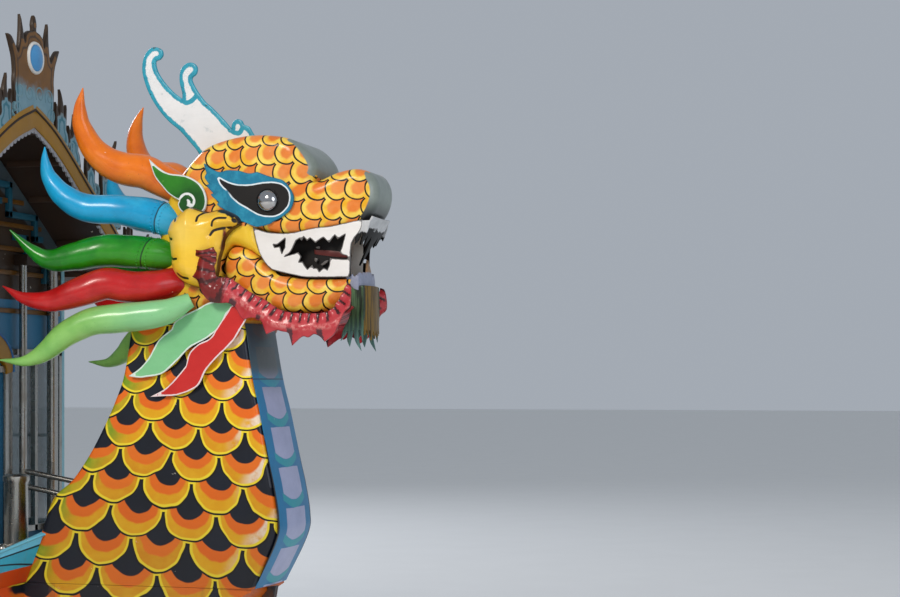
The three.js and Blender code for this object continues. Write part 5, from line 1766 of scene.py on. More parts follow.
def hull_paint():
    """Orange sheer band, golden scales with dark red outlines, cloud scrolls at the bow, dark red bottom."""
    paint = Paint("hull_scales")
    x, _, z = paint.place()
    drop = paint.attribute("drop")
    grime = paint.noise(2.5, 5.0, 0.7)
    ahead = x * math.cos(0.06) + z * math.sin(0.06)
    sx, sz, lower, own = scale_spots(paint, ahead, z * -1, waver=0.03, **HULL_SCALE)
    reach = (sx * sx + sz * sz).root()
    gold = paint.mix(own, "e0a01a", "f0b824")
    gold = paint.mix((ring(sx, sz, 0.2) + paint.noise(9.0) * 0.3).step(0.85, 0.2) * 0.6, "c57a12", gold)
    gold = paint.mix(lower * reach.step(0.86, 0.02), gold, "8e2416")
    dot = (sx * sx * 2.2 + (sz - 0.1) * (sz - 0.1) * 5).root()
    gold = paint.mix(dot.below(0.34, 0.05), gold, "1c1410")
    edge = paint.noise(5.0, 3.0) * 0.05
    band = (drop + edge).below(0.30, 0.006)
    orange = paint.tones("e2571f", "c9461a", 3.0, 4.0, 0.6)
    colour = paint.mix(band, gold, orange)
    wave = (x * 5.2).wave() * 0.05 + (x * 11.0).wave() * 0.02
    clouds = (x - z * 0.9).step(3.3, 0.01) * (z + wave).below(0.42, 0.008)
    swirl = scrolls(paint, ahead, z, 0.24)
    foam = paint.mix(swirl.step(0.30, 0.05), "dfe4e2", "8fb6c4")
    foam = paint.mix(swirl.band(0.17, 0.24, 0.02), foam, "1c7f96")
    colour = paint.mix(clouds, colour, foam)
    rim = (z + wave).band(0.405, 0.425, 0.004) * (x - z * 0.9).step(3.3, 0.01)
    colour = paint.mix(rim, colour, "1c7f96")
    fore = x.step(5.055, 0.004)
    colour = paint.mix(fore, colour, neck_pattern(paint, faded=(0.92 - z).step(0.14, 0.1)))
    under = (z + edge).below(0.085, 0.004)
    bottom = paint.mix(paint.noise(6.0, 6.0, 0.7).step(0.5, 0.15), "4a1c14", "6e2c1c")
    weed = paint.noise(14.0, 6.0, 0.75).step(0.52, 0.08) * z.below(0.02, 0.03)
    bottom = paint.mix(weed * 0.8, bottom, "3f4630")
    colour = paint.mix(under, colour, bottom)
    tide = z.band(0.06, 0.15, 0.03) * grime.step(0.45, 0.15)
    colour = paint.mix(tide * 0.55, colour, "6b6550")
    streak = paint.noise(7.0, 4.0, 0.7, stretch=(1.0, 1.0, 0.06)).step(0.64, 0.05)
    colour = paint.mix(streak * 0.35, colour, "5d3a22")
    return enamel(paint, colour, 0.36, 0.8, dents=1.2)


def hull():
    tables = [hull_section(s) for s in HULL] + [foot_section(s) for s in FORE_FOOT]
    spots = STATIONS + [s[0] for s in FORE_FOOT]
    fine = np.unique(np.concatenate([np.linspace(spots[0], 4.9, 96), np.linspace(4.9, spots[-1], 48), spots]))
    columns = np.array(tables)
    around = np.linspace(0, 5, 31)
    rings, drop = [], []
    for x in fine:
        half = np.array([[glide(x, spots, columns[:, p, k]) for k in (0, 1)] for p in range(6)])
        ys = np.interp(around, range(6), half[:, 0])
        zs = np.interp(around, range(6), half[:, 1])
        side = [(x, y, z) for y, z in zip(ys, zs)]
        rings.append(side + [(x, -y, z) for x, y, z in reversed(side)])
        fall = half[0, 1] - zs
        drop.append(np.concatenate([fall, fall[::-1]]))
    places, faces = skin(rings)
    far = np.ones(len(places))
    fields = {"drop": np.array(drop).ravel(), "aft_gap": far, "fore_gap": far}
    piece("hull_shell", places, faces, hull_paint(), slot="hull_paint", stands_for=["hull"], fields=fields,
          sharp=28)


def rail_line(x):
    """The deck edge as half-breadth and height."""
    return along(x, 1), along(x, 2)


def side_rings(section, xs):
    """Rings along the hull's starboard side; section gives out and up at each place."""
    rings = []
    for x in xs:
        y, z = rail_line(x)
        rings.append(np.array([(x, -(y + out), z + up) for out, up in section(x)]))
    return rings


BULWARK_END = (0.956, 1.225)  # heights between which the bulwark meets the neck
TURN_IN = np.linspace(0, 1, 9)[1:]  # shares of the way from the last station in to the neck


def bulwark_paint():
    """Light blue plating with two dark seams, orange along its foot."""
    paint = Paint("strake_blue")
    waver = (paint.noise(3.0) - 0.5) * 0.05
    rise, turn = paint.attribute("rise") + waver, paint.attribute("turn")
    blue = paint.tones("1f93b4", "3fb0c9", 3.0, 4.0, 0.6)
    upper, lower = rise + turn * 0.08 - 0.86, rise + turn * 0.36 - 0.73
    blue = paint.mix(upper.step(0.0, 0.01), blue, "6cc6e2")
    blue = paint.mix(upper.size().least(lower.size()).below(0.022, 0.008), blue, "0f2f3c")
    brushed = paint.noise(30.0, 2.0, stretch=(1, 1, 0.5)).step(0.72, 0.02)
    blue = paint.mix(brushed * 0.8, blue, "16465c")
    orange = paint.tones("d24a10", "b23806", 3.0, 4.0, 0.6)
    colour = paint.mix((rise + turn * 0.09).step(0.45, 0.008), orange, blue)
    run = paint.noise(8.0, 4.0, 0.7, stretch=(1.0, 1.0, 0.08)).step(0.64, 0.06)
    colour = paint.mix(run * 0.3, colour, "6b5a44")
    return enamel(paint, colour, 0.36, 0.7, dents=0.8)


def bulwark():
    """Plating with a rounded cap along both sides and the stern, and in to the neck; ribs inside."""
    xs = np.unique(np.concatenate([np.linspace(STERN, 4.9, 90), np.linspace(4.9, 5.03, 14)]))
    wall, lip = 0.010, 0.012
    share = np.linspace(0, 1, 8)
    turn = np.linspace(0, 2 * math.pi, 14, endpoint=False)

    def plating(x):
        high = along(x, 3) - along(x, 2) - lip
        outer = [(-0.004 + 0.020 * t, 0.001 + high * t) for t in share]
        return outer + [(out - wall, up) for out, up in reversed(outer)]

    def cap(x):
        high = along(x, 3) - along(x, 2) - lip
        return [(-0.004 + 0.030 * math.cos(t), high + 0.004 + 0.012 * math.sin(t)) for t in turn]

    def turned_in(rings, end):
        return skin([*rings, *[rings[-1] * (1 - t) + end * t for t in TURN_IN]])

    low, top = BULWARK_END
    zs = low + (top - lip - low) * share
    edge = np.interp(zs, [p[1] for p in NECK_AFT], [p[0] for p in NECK_AFT])
    outer = np.stack([edge + 0.028, np.full(8, -0.262), zs], 1)
    inner = np.stack([edge + 0.016, np.full(8, -0.250), zs], 1)[::-1]
    side = turned_in(side_rings(plating, xs), np.vstack([outer, inner]))
    half, foot, head = (along(STERN, k) for k in (1, 2, 3))
    stern = box((STERN, -half, foot + 0.002), (STERN + 0.012, half, head - lip), 0.003)
    count = len(xs) + len(TURN_IN)
    rise = np.tile(np.concatenate([share, share[::-1]]), count)
    way_in = np.repeat(np.concatenate([np.zeros(len(xs)), TURN_IN]), 16)
    fields = {"rise": np.concatenate([rise, rise, (stern[0][:, 2] - foot) / (head - foot)]),
              "turn": np.concatenate([way_in, way_in, np.zeros(len(stern[0]))])}
    whole = merge(side, mirrored(side), stern)
    piece("bulwark_plating", *whole, bulwark_paint(), slot="strake_paint", stands_for=["bulwark"],
          fields=fields)
    ribs = []
    for x in np.arange(-6.4, 4.7, 0.62):
        y, z = rail_line(x)
        ribs.append(box((x - 0.004, -y + 0.012, z + 0.03), (x + 0.004, -y + 0.052, along(x, 3) - 0.02),
                        0.0015))
    piece("bulwark_ribs", *both(*ribs), LIGHT_BLUE, slot="strake_paint")
    middle = np.array([edge[-1] + 0.018, -0.246, top - 0.008])
    across = np.array([0.889, -0.459, 0.0]) * 0.030
    end = [middle + across * math.cos(t) + np.array([0, 0, 0.012]) * math.sin(t) for t in turn]
    rim = turned_in(side_rings(cap, xs), np.array(end))
    over_stern = bar([(STERN + 0.014, y, head - 0.008) for y in (half + 0.01, 0.0)], 0.014, 12)
    piece("bulwark_cap", *both(rim, over_stern), LIGHT_BLUE, slot="strake_paint")


RUB_DROP, RUB_RADIUS = 0.034, 0.028  # the bead's middle under the rail line, and its radius


def rub_rail():
    xs = np.unique(np.concatenate([np.linspace(STERN - 0.03, 4.9, 90), np.linspace(4.9, 5.03, 12)]))
    turn = np.linspace(-math.pi / 2, math.pi / 2, 9)

    def section(x):
        at = max(x, STERN)
        flare = (along(at, 1) - along(at, 4)) / (along(at, 2) - along(at, 5))

        def on_skin(up):
            return up * flare - 0.004

        middle = on_skin(-RUB_DROP)
        bead = [(middle + RUB_RADIUS * math.cos(t), -RUB_DROP + RUB_RADIUS * math.sin(t)) for t in turn]
        return [*bead, (on_skin(-0.006), -0.006), (on_skin(-0.062), -0.062)]

    side = skin(side_rings(section, xs))
    half, z = along(STERN, 1), along(STERN, 2) - RUB_DROP
    stern = bar([(STERN - 0.015, -half - 0.012, z), (STERN - 0.015, half + 0.012, z)], 0.026, 16)
    piece("rub_rail_bead", *merge(side, mirrored(side), stern), CREAM, slot="cream_paint",
          stands_for=["rub_rail"], sharp=60)
    heads = []
    for x in np.arange(-6.75, 4.9, 0.28):
        y, top = rail_line(x)
        heads += [(x, s * (y + 0.022), top - RUB_DROP) for s in SIDES]
    heads += [(STERN - 0.039, y, top - RUB_DROP) for y in np.arange(-0.9, 0.95, 0.3)]
    piece("rub_rail_bolts", *studs(heads, 0.009), STEEL, slot="rail_steel")


def deck_paint():
    """Brown deck paint on tread plate, worn to a dull shine along the middle."""
    paint = Paint("deck_tread")
    x, y, _ = paint.place()
    u, v = (x + y) / 0.050, (x - y) / 0.050

    def stud(a, b):
        """A long stud in the middle of each cell."""
        return (((a.part() - 0.5) * 3.2) ** 2 + ((b.part() - 0.5) * 1.2) ** 2).root().below(0.42, 0.08)

    even = ((u.floor() + v.floor()) * 0.5).part() > 0.25
    raised = stud(u, v) * even + stud(v, u) * (1 - even)
    worn = y.size().below(0.55, 0.35) * paint.noise(4.0, 5.0, 0.7).step(0.4, 0.2)
    colour = paint.mix(raised * worn * 0.6, paint.tones("5c4a38", "7b6650", 3.0, 5.0, 0.65), "a39a8c")
    colour = paint.mix(paint.noise(1.4, 4.0).step(0.6, 0.12) * 0.4, colour, "44392e")
    relief = paint.relief(raised + paint.noise(30.0) * 0.15, 0.6, 0.002)
    return paint.done(colour, 0.62 - worn * 0.15, relief=relief)


def bitt(name, x, radius, height, finish):
    """A mooring bitt: round post with a cap, a cross bar with knobs, and a bolted foot."""
    z = float(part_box(name)[0][2])
    plate_top, arm = z + 0.028, z + 0.23
    rim = radius * 1.12
    shape = [(0, 0.024), (rim, 0.024), (radius, 0.05), (radius, height - 0.05), (rim, height - 0.035),
             (rim, height - 0.012), (radius * 0.8, height), (0, height)]
    parts = [box((x - 0.11, -0.11, z + 0.002), (x + 0.11, 0.11, plate_top)),
             turned(shape, (x, 0, z), (0, 0, 1), 36),
             bar([(x, -0.155, arm), (x, 0.155, arm)], 0.024, 18),
             *[ball((x, s * 0.150, arm), 0.032, 14, 20) for s in SIDES],
             studs([(x + a * 0.085, b * 0.085, plate_top) for a in SIDES for b in SIDES], 0.012, (1, 1, 0.7))]
    piece(name + "_casting", *merge(*parts), finish, slot="black_iron", stands_for=[name])


hull()
bulwark()
rub_rail()
carried("stem_and_keel", IRON)
carried("deck", deck_paint())
bitt("bitt_fore", 4.89, 0.066, 0.640, WORN_STEEL)
bitt("bitt_aft", -6.35, 0.055, 0.330, IRON)

# Cabin

CABIN = {"fore": 4.6, "aft": -4.5, "half": 1.15, "wall": 0.04, "sill": 1.18, "head": 2.25}
WINDOWS, POST = 7, 0.09
ROOF_FORE, ROOF_AFT, ROOF_HALF, ROOF_THICK = 4.98, -4.90, 1.56, 0.06
EAVE_FOOT = 2.652
ROOF_LINE = [(0, 3.58), (0.2, 3.50), (0.75, 3.15), (1.25, 2.83), (1.56, 2.72)]
EAVE_HEAD = 2.60  # underside of the board under the eaves


def roof_top(y):
    """The roof's upper face, a gentle curve through its line."""
    return glide(np.abs(y), [p[0] for p in ROOF_LINE], [p[1] for p in ROOF_LINE])


def wall_paint():
    """Side walls: pale blue with a darker dado of framed panels, and grime along the foot."""
    paint = Paint("wall_blue")
    _, _, z = paint.place()
    blue = paint.tones("7dbacb", "9bcfdb", 2.2, 4.0, 0.6)
    blue = paint.mix(z.below(1.16, 0.003), blue, paint.tones("2f79b4", "3f8dc4", 2.6, 4.0))
    low = z.below(0.72, 0.10) * paint.noise(6.0, 5.0, 0.7).step(0.42, 0.15)
    blue = paint.mix(low * 0.6, blue, "6d665a")
    return enamel(paint, blue, 0.38, 0.8, dents=0.8)


def front_shaded_paint():
    """End walls: worn blue below the lintel, dark brown above it; both are dark to stand for the shade under
    the porch roof, as painted shade.
    """
    paint = Paint("front_blue")
    _, across, z = paint.place()
    # Painted shade: the blue and the brown are darker than the side walls to stand for the shade under the
    # porch roof.
    blue = paint.tones("2a6a92", "3a7fa6", 2.6, 4.0, 0.6)
    low = z.below(0.90, 0.12) * paint.noise(6.0, 5.0, 0.7).step(0.42, 0.15)
    blue = paint.mix(low * 0.6, blue, "5d5a50")
    brown = paint.tones("2a1c12", "42301e", 3.0, 4.0, 0.6)
    slope = z + across.size() * 0.55
    brown = paint.mix(slope.step(3.36, 0.01), brown, paint.tones("3c4a52", "55666c", 4.0, 4.0))
    return enamel(paint, paint.mix(z.step(2.53, 0.004), blue, brown), 0.42, 0.8, dents=0.6)


def window_places():
    """The middles of the side windows along the boat, and their width."""
    pitch = (CABIN["fore"] - CABIN["aft"] - POST) / WINDOWS
    first = CABIN["aft"] + POST + (pitch - POST) / 2
    return [first + pitch * i for i in range(WINDOWS)], pitch - POST


def cabin_walls():
    wall = wall_paint()
    for side in ("starboard", "port"):
        carried("cabin_side_" + side, wall)
        carried("cabin_glass_" + side, GLASS)
    middles, width = window_places()
    height = CABIN["head"] - CABIN["sill"]
    y = CABIN["half"] + 0.006
    frames_out = worked(FRAMES, [(x, -y, (CABIN["head"] + CABIN["sill"]) / 2) for x in middles],
                        Width=width + 0.05, Height=height + 0.05, Bar=0.036, Deep=0.024, Turn=(0, 0, 0))
    reach = width / 2
    rails = [box((x - reach, -y - 0.004, 1.70), (x + reach, -y + 0.012, 1.722), 0.003) for x in middles]
    piece("window_frames", *both(frames_out, *rails), STEEL, slot="rail_steel", sharp=30)
    low, high, reach = 0.78, 1.08, width / 2 - 0.06
    loop = [(-1, low), (1, low), (1, high), (-1, high), (-1, low + 0.02)]
    panels = [box((x - reach, -y - 0.006, low), (x + reach, -y + 0.008, high), 0.006) for x in middles]
    beads = [bar([(x + a * reach, -y - 0.004, b) for a, b in loop], 0.010, 8, 0.02) for x in middles]
    piece("dado_panels", *both(*panels), LIGHT_BLUE, slot="cabin_paint")
    piece("dado_beads", *both(*beads), YELLOW, slot="cabin_paint")
    stripes = (("yellow", YELLOW, -0.10, 0, 0.014), ("red", RED, 0.002, 0.045, 0.018))
    for name, finish, foot, head, out in stripes:
        stripe = box((-4.52, -y - out, EAVE_HEAD + foot), (4.62, -y + 0.010, EAVE_HEAD + head))
        piece("eave_board_" + name, *both(stripe), finish, slot="cabin_paint")
    posts = []
    for i in range(WINDOWS + 1):
        x = CABIN["aft"] + POST / 2 + (CABIN["fore"] - CABIN["aft"] - POST) / WINDOWS * i
        posts.append(box((x - 0.028, -y - 0.012, 1.13), (x + 0.028, -y + 0.010, 2.50), 0.006))
    piece("window_posts", *both(*posts), WHITE, slot="cabin_paint")
    screws = [(x + s * 0.016, -y - 0.013, h) for x in [p - width / 2 - POST / 2 for p in middles]
              for s in SIDES for h in (1.18, 1.5, 1.85, 2.2, 2.44)]
    piece("post_screws", *both(studs(screws, 0.005, (1, 0.6, 1))), STEEL, slot="rail_steel")


ARCH_STEPS = 25


def arch_outline():
    """The arched board over a doorway: a bow with a raised middle."""
    turn = np.linspace(0, math.pi, ARCH_STEPS)
    outer = [(-450 * math.cos(t), 2105 + 270 * math.sin(t) ** 0.8) for t in turn]
    inner = [(-376 * math.cos(t), 2090 + 135 * math.sin(t) ** 0.8) for t in reversed(turn)]
    return [(*p, 1) if i in (0, ARCH_STEPS - 1) else p for bow in (outer, inner) for i, p in enumerate(bow)]


# Height and half-length of each slat
FRIEZE = [(2.45, 1.06), (2.675, 1.06), (2.815, 1.04), (2.955, 0.82), (3.095, 0.60)]
FRETS = [  # cloud key in the tympanum, half of it, as middle lines
    [(0.30, 3.20), (0.42, 3.20), (0.42, 3.03), (0.735, 3.03), (0.735, 2.905), (0.80, 2.905)],
    [(0.18, 3.30), (0.18, 3.10), (0.30, 3.10)],
    [(0.86, 2.66), (0.86, 2.78), (0.62, 2.78), (0.62, 2.90), (0.50, 2.90)],
]


def bulkheads():
    wall = front_shaded_paint()
    for node, x, way in (("bulkhead_fore", CABIN["fore"], 1), ("bulkhead_aft", CABIN["aft"], -1)):
        carried(node, wall)
        end = node.split("_")[1]

        def block(out, across, up, bevel=0.004):
            """A box on the bulkhead: its reaches out from the face, across the boat and up."""
            return box(*sorted((x + way * out[k], across[k], up[k]) for k in (0, 1)), bevel)

        places, faces, _ = board(arch_outline(), 0.028, athwart(x + way * 0.002, way), 0.006, 0.05, 0.02)
        piece("door_arch_" + end, places, faces, OCHRE, slot="fascia_paint")
        bow = [(x + way * 0.030, p[0] / 1000, p[1] / 1000) for p in arch_outline()[:ARCH_STEPS]]
        piece("door_arch_rim_" + end, *bar(bow, 0.008, 8), DEEP_BLUE, slot="cabin_paint")
        blank = block((0.030, 0.042), (-0.13, 0.13), (2.255, 2.345), 0.003)
        piece("blank_plate_" + end, *blank, DEEP_BLUE, slot="cabin_paint")
        jambs = [block((0.001, 0.020), (s * 0.375, s * 0.435), (0.92, 2.12), 0.005) for s in SIDES]
        jambs.append(block((0.001, 0.020), (-0.435, 0.435), (2.10, 2.14), 0.005))
        piece("door_frame_" + end, *merge(*jambs), STEEL, slot="rail_steel")
        spots = [(x + way * 0.004, s * 0.75, (CABIN["sill"] + CABIN["head"] - 0.04) / 2) for s in SIDES]
        panes = worked(FRAMES, spots, Width=0.66, Height=1.09, Bar=0.034, Deep=0.03, Turn=(0, 0, math.pi / 2))
        piece("end_window_frames_" + end, *panes, STEEL, slot="rail_steel", sharp=30)
        sheets = [block((-0.026, -0.022), (s * 0.75 - 0.31, s * 0.75 + 0.31), (1.16, 2.23),
                        0.0) for s in SIDES]
        piece("end_window_glass_" + end, *merge(*sheets), GLASS, slot="window_glass")
        slats = [block((-0.001, 0.018), (-half, half), (z, z + 0.028)) for z, half in FRIEZE]
        piece("frieze_slats_" + end, *merge(*slats), GOLD_BROWN, slot="fascia_paint")
        fret = []
        for s in SIDES:
            for steps in FRETS:
                for (y0, z0), (y1, z1) in zip(steps, steps[1:]):
                    ends = [(x - way * 0.001, s * (min(y0, y1) - 0.019), min(z0, z1) - 0.019),
                            (x + way * 0.030, s * (max(y0, y1) + 0.019), max(z0, z1) + 0.019)]
                    fret.append(box(*np.sort(ends, axis=0)))
        piece("fretwork_" + end, *merge(*fret), FRET_TEAL, slot="cabin_paint")


def doors():
    """The frames, panes and handles of the two sliding doors move with them."""
    for node, body, way in (("door_fore", "fore_door", 1), ("door_aft", "aft_door", -1)):
        lo, hi = (np.array(c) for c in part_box(node))
        carried(node, WHITE)
        pane = box((lo[0] + 0.010, -0.325, 1.235), (lo[0] + 0.016, 0.325, 2.075), 0.0)
        piece(node + "_glass", *pane, GLASS, body=body, slot="window_glass")
        inner = lo[0] if way > 0 else hi[0]
        loop = ((-1, 1.25), (1, 1.25), (1, 2.06), (-1, 2.06), (-1, 1.27))
        rim = bar([(inner, a * 0.315, b) for a, b in loop], 0.008, 8, 0.03)
        grip = ((0.0, 1.02), (0.040, 1.03), (0.040, 1.17), (0.0, 1.18))
        pull = bar([(inner - way * out, -0.30, up) for out, up in grip], 0.008, 10, 0.02)
        piece(node + "_trim", *merge(rim, pull), STEEL, body=body, slot="rail_steel")


cabin_walls()
bulkheads()
doors()

# Roof: ribbed blue sheeting, panelled ceiling, ridge and eave strips


def roof_paint():
    """Faded blue sheeting above, brown boards below."""
    paint = Paint("roof_sheet")
    _, _, up = paint.facing()
    blue = paint.tones("2f6f8f", "3f87a8", 1.6, 5.0, 0.65)
    blue = paint.mix(paint.noise(5.0, 5.0, 0.7).step(0.6, 0.1) * 0.45, blue, "78939a")
    brown = paint.tones("2b2019", "46352a", 3.0, 4.0, 0.6)
    return enamel(paint, paint.mix(up.below(-0.2, 0.05), blue, brown), 0.42, 0.9)


def roof():
    ys = np.concatenate([-np.linspace(ROOF_HALF, 0, 30), np.linspace(0, ROOF_HALF, 30)[1:]])
    upper = [(y, roof_top(y)) for y in ys]
    lower = [(y, roof_top(y) - ROOF_THICK) for y in reversed(ys)]
    rings = [[(x, y, z) for y, z in upper + lower] for x in np.linspace(ROOF_AFT, ROOF_FORE, 22)]
    piece("roof_shell", *skin(rings), roof_paint(), slot="roof_paint", stands_for=["roof"], sharp=30)
    path = [(ROOF_AFT + 0.05, -y, float(roof_top(y)) + 0.002) for y in np.linspace(0.10, 1.575, 22)]
    edges = [(i, i + 1) for i in range(len(path) - 1)]
    ribs = worked(RIDGES, path, edges, Count=81, Offset=(0.121875, 0, 0), Radius=0.017)
    sheet_blue = painted("roof_ribs", "3d86a6", "2c6a88", 0.4, 0.9)
    piece("roof_ribs", *both(ribs), sheet_blue, slot="roof_paint", sharp=50)
    ridge = bar([(ROOF_AFT + 0.01, 0, 3.60), (ROOF_FORE - 0.01, 0, 3.60)], 0.055, 20)
    eaves = both(box((ROOF_AFT, -1.585, EAVE_FOOT), (ROOF_FORE, -ROOF_HALF, EAVE_FOOT + 0.09), 0.006))
    piece("roof_ridge", *ridge, OCHRE, slot="fascia_paint")
    piece("eave_strips", *eaves, OCHRE, slot="fascia_paint")
    waves = [(x, -1.574, EAVE_FOOT) for x in np.arange(ROOF_AFT + 0.04, ROOF_FORE, 0.08)]
    trim = worked(DISCS, waves, Radius=0.036, Thick=0.010, Turn=(math.pi / 2, 0, 0))
    piece("eave_scallops", *both(trim), WHITE, slot="white_paint", sharp=30)
    whole = [(ROOF_AFT, ROOF_FORE)]
    between_walls = [(ROOF_AFT, CABIN["aft"]), (CABIN["aft"] + CABIN["wall"], CABIN["fore"] - CABIN["wall"]),
                     (CABIN["fore"], ROOF_FORE)]
    battens = []
    for y in (0.13, 0.40, 0.67, 1.02, 1.35):
        z = float(roof_top(y)) - ROOF_THICK
        for x0, x1 in between_walls if y < CABIN["half"] else whole:
            battens.append(box((x0 + 0.02, -y - 0.02, z - 0.022), (x1 - 0.02, -y + 0.02, z + 0.012), 0.003))
    brown_wood = painted("ceiling_brown", "5a4333", "3a2a20", 0.5, 0.4)
    piece("ceiling_battens", *both(*battens), brown_wood, slot="roof_paint")


# Gables: ochre boards with scalloped trim, flames, scrolls and a crest

CREST = [  # one half, from the middle outwards, above the roof's peak
    (0, 520), (16, 495), (24, 461), (20, 433), (62, 423), (100, 397), (112, 355), (132, 417), (160, 499, 1),
    (164, 405), (176, 325), (190, 287), (214, 315), (262, 361), (300, 369, 1), (270, 315), (240, 251),
    (228, 175),
    (232, 105), (214, -105, 1),
]
FLAMES = [(325, 330, -0.2), (480, 310, 0.2), (700, 290, 0.5), (950, 540, 1.0), (1230, 260, 0.8),
          (1450, 260, 1.6)]


def crest_outline():
    """The crest's whole outline, in millimetres above the roof's peak."""
    left = [(-p[0], *p[1:]) for p in reversed(CREST[1:])]
    return [(p[0], p[1] + 3580, *p[2:]) for p in left + CREST]


def flame_outline(height, lean):
    w = height * 0.2
    shape = [(-1.5, 0, 1), (-1.25, 0.22), (-0.95, 0.30), (-1.0, 0.55), (-0.95, 0.76, 1), (-0.62, 0.60),
             (-0.42, 0.56),
             (-0.1 + lean * 0.3, 0.78), (lean, 1.0, 1), (0.35 + lean * 0.2, 0.76), (0.45, 0.55), (0.62, 0.60),
             (1.0, 0.76, 1), (0.95, 0.5), (0.9, 0.32), (1.2, 0.24), (1.5, 0, 1)]
    return [(a * w, b * height, *c) for a, b, *c in shape]


def flame_paint():
    paint = Paint("flame_brown")
    deep = paint.attribute("deep")
    swing = (paint.noise(18.0, 3.0) - 0.5) * 0.014
    brown = paint.tones("8e5e18", "5c3c12", 7.0, 4.0, 0.65)
    rise = paint.attribute("rise") + (paint.noise(9.0, 3.0) - 0.5) * 0.16
    blue = paint.tones("4f8598", "8fb0ba", 9.0, 4.0, 0.65)
    blue = paint.mix((deep + swing).band(0.026, 0.040, 0.003) * 0.9, blue, "226f80")
    brown = paint.mix((deep + swing).band(0.030, 0.042, 0.003) * 0.8, brown, "33200c")
    brown = paint.mix(rise.step(0.0, 0.04), blue, brown)
    brown = paint.mix((deep + swing).below(0.010, 0.003), brown, "33220e")
    return enamel(paint, brown, 0.4, 0.8)


def swirl_mark(middle, radius, way=1, start=0.0):
    """A spiral bead of a traditional cloud scroll, as a line of y and z."""
    share = np.linspace(0.12, 1, 26)
    angle = start + way * share * 1.6 * 2 * math.pi
    y, z = middle
    return [(y + radius * s * math.cos(a), z + radius * s * math.sin(a)) for s, a in zip(share, angle)]


def roof_rise(y):
    """The roof's upper face over a place across the boat, both in millimetres."""
    return float(roof_top(y / 1000)) * 1000


def gable_flames(end, x, way):
    """The crest and the flames, with fields for their painted rims and their change of colour."""
    leaves_at = [(crest_outline(), 0, 0, 3688)]
    for y, height, lean in FLAMES:
        for side in SIDES:
            shape = [(side * p[0], *p[1:]) for p in flame_outline(height, lean)]
            foot = roof_rise(y)
            leaves_at.append((shape[::side], side * y, foot - 30, foot + height * 0.5))
    parts, deeps, rises = [], [], []
    for shape, y, z, change_at in leaves_at:
        outline = [(p[0] + y, p[1] + z, *p[2:]) for p in shape]
        places, faces, deep = board(outline, 0.022, athwart(x + way * 0.004, way), 0.006, 0.025, 0.012)
        parts.append((places, faces))
        deeps.append(deep)
        rises.append(places[:, 2] - change_at / 1000)
    piece("gable_flames_" + end, *merge(*parts), flame_paint(), slot="fascia_paint",
          fields={"deep": np.concatenate(deeps), "rise": np.concatenate(rises)})


def gable(end, x, way):
    half = ROOF_HALF * 1000
    ys = np.concatenate([-np.linspace(half, 0, 26), np.linspace(0, half, 26)[1:]])
    rim = [(y, roof_rise(y) + 25) for y in ys] + [(y, roof_rise(y) - 110) for y in reversed(ys)]
    rim = [(*p, 1) if abs(p[0]) in (half, 0.0) else p for p in rim]
    places, faces, _ = board(rim, 0.030, athwart(x, way), 0.006, 0.05, 0.05)
    piece("gable_board_" + end, places, faces, OCHRE, slot="fascia_paint", stands_for=["gable_" + end])
    strip = bar([(x + way * 0.030, y / 1000, (roof_rise(y) - 10) / 1000) for y in ys], 0.007, 10)
    piece("gable_beads_" + end, *strip, DARK_WOOD, slot="fascia_paint")
    waves = [(x + way * 0.015, y, roof_rise(y * 1000) / 1000 - 0.112) for y in np.arange(-1.54, 1.55, 0.040)]
    trim = worked(DISCS, waves, Radius=0.023, Thick=0.012, Turn=(0, math.pi / 2, 0))
    piece("gable_scallops_" + end, *trim, LACE_GREY, slot="white_paint", sharp=30)
    gable_flames(end, x, way)
    middle = (x + way * 0.030 - way * 0.004, 0, 3.86)
    disc = turned([(0, 0), (0.075, 0), (0.072, 0.012), (0.05, 0.02), (0, 0.024)], middle, (way, 0, 0))
    piece("crest_disc_" + end, *disc, CREST_BLUE, slot="cabin_paint")
    ring_round = turned(ring_profile(0.072, 0.020, 0.014), middle, (way, 0, 0))
    piece("crest_ring_" + end, *ring_round, WHITE, slot="white_paint")
    marks = [swirl_mark((y, 3.66), 0.052, 1 if y > 0 else -1) for y in (-0.17, -0.06, 0.06, 0.17)]
    for y in (0.2, 0.46, 0.78, 1.04, 1.32):
        z = roof_rise(y * 1000) / 1000 + 0.055
        marks += [swirl_mark((s * y, z), 0.060, s, 1.0) for s in SIDES]
    beads = [bar([(x + way * 0.017, a, b) for a, b in mark], 0.011, 8) for mark in marks]
    piece("gable_scrolls_" + end, *merge(*beads), SCROLL_GREY, slot="cabin_paint", sharp=60)


roof()
gable("fore", ROOF_FORE + 0.0005, 1)
gable("aft", ROOF_AFT - 0.0005, -1)

# Inside the cabin and on deck


BENCH_TOP = 0.4555  # over the deck line


def bench(side, sign):
    """A bench box with a slatted blue seat."""
    carried("bench_" + side, DEEP_BLUE)
    section = ((-0.024, -0.006), (-0.021, 0.010), (0.021, 0.010), (0.024, -0.006))
    slats = []
    for i in range(7):
        y = sign * (0.665 + i * 0.062)
        line = [(x, along(x, 2) + BENCH_TOP + 0.010) for x in np.linspace(-3.88, 3.08, 15)]
        slats.append(skin([[(x, y + aside, z + up) for aside, up in section] for x, z in line]))
    piece("bench_slats_" + side, *merge(*slats), DEEP_BLUE, slot="seat_blue", sharp=30)


HELM = np.array([3.72, -0.62, 1.56])  # the wheel's middle
CONSOLE_TILT = math.atan2(0.05, 0.14)
WHEEL_TILT = 0.35
WHEEL = {"radius": 0.230, "rim": 0.0135, "spokes": 6}


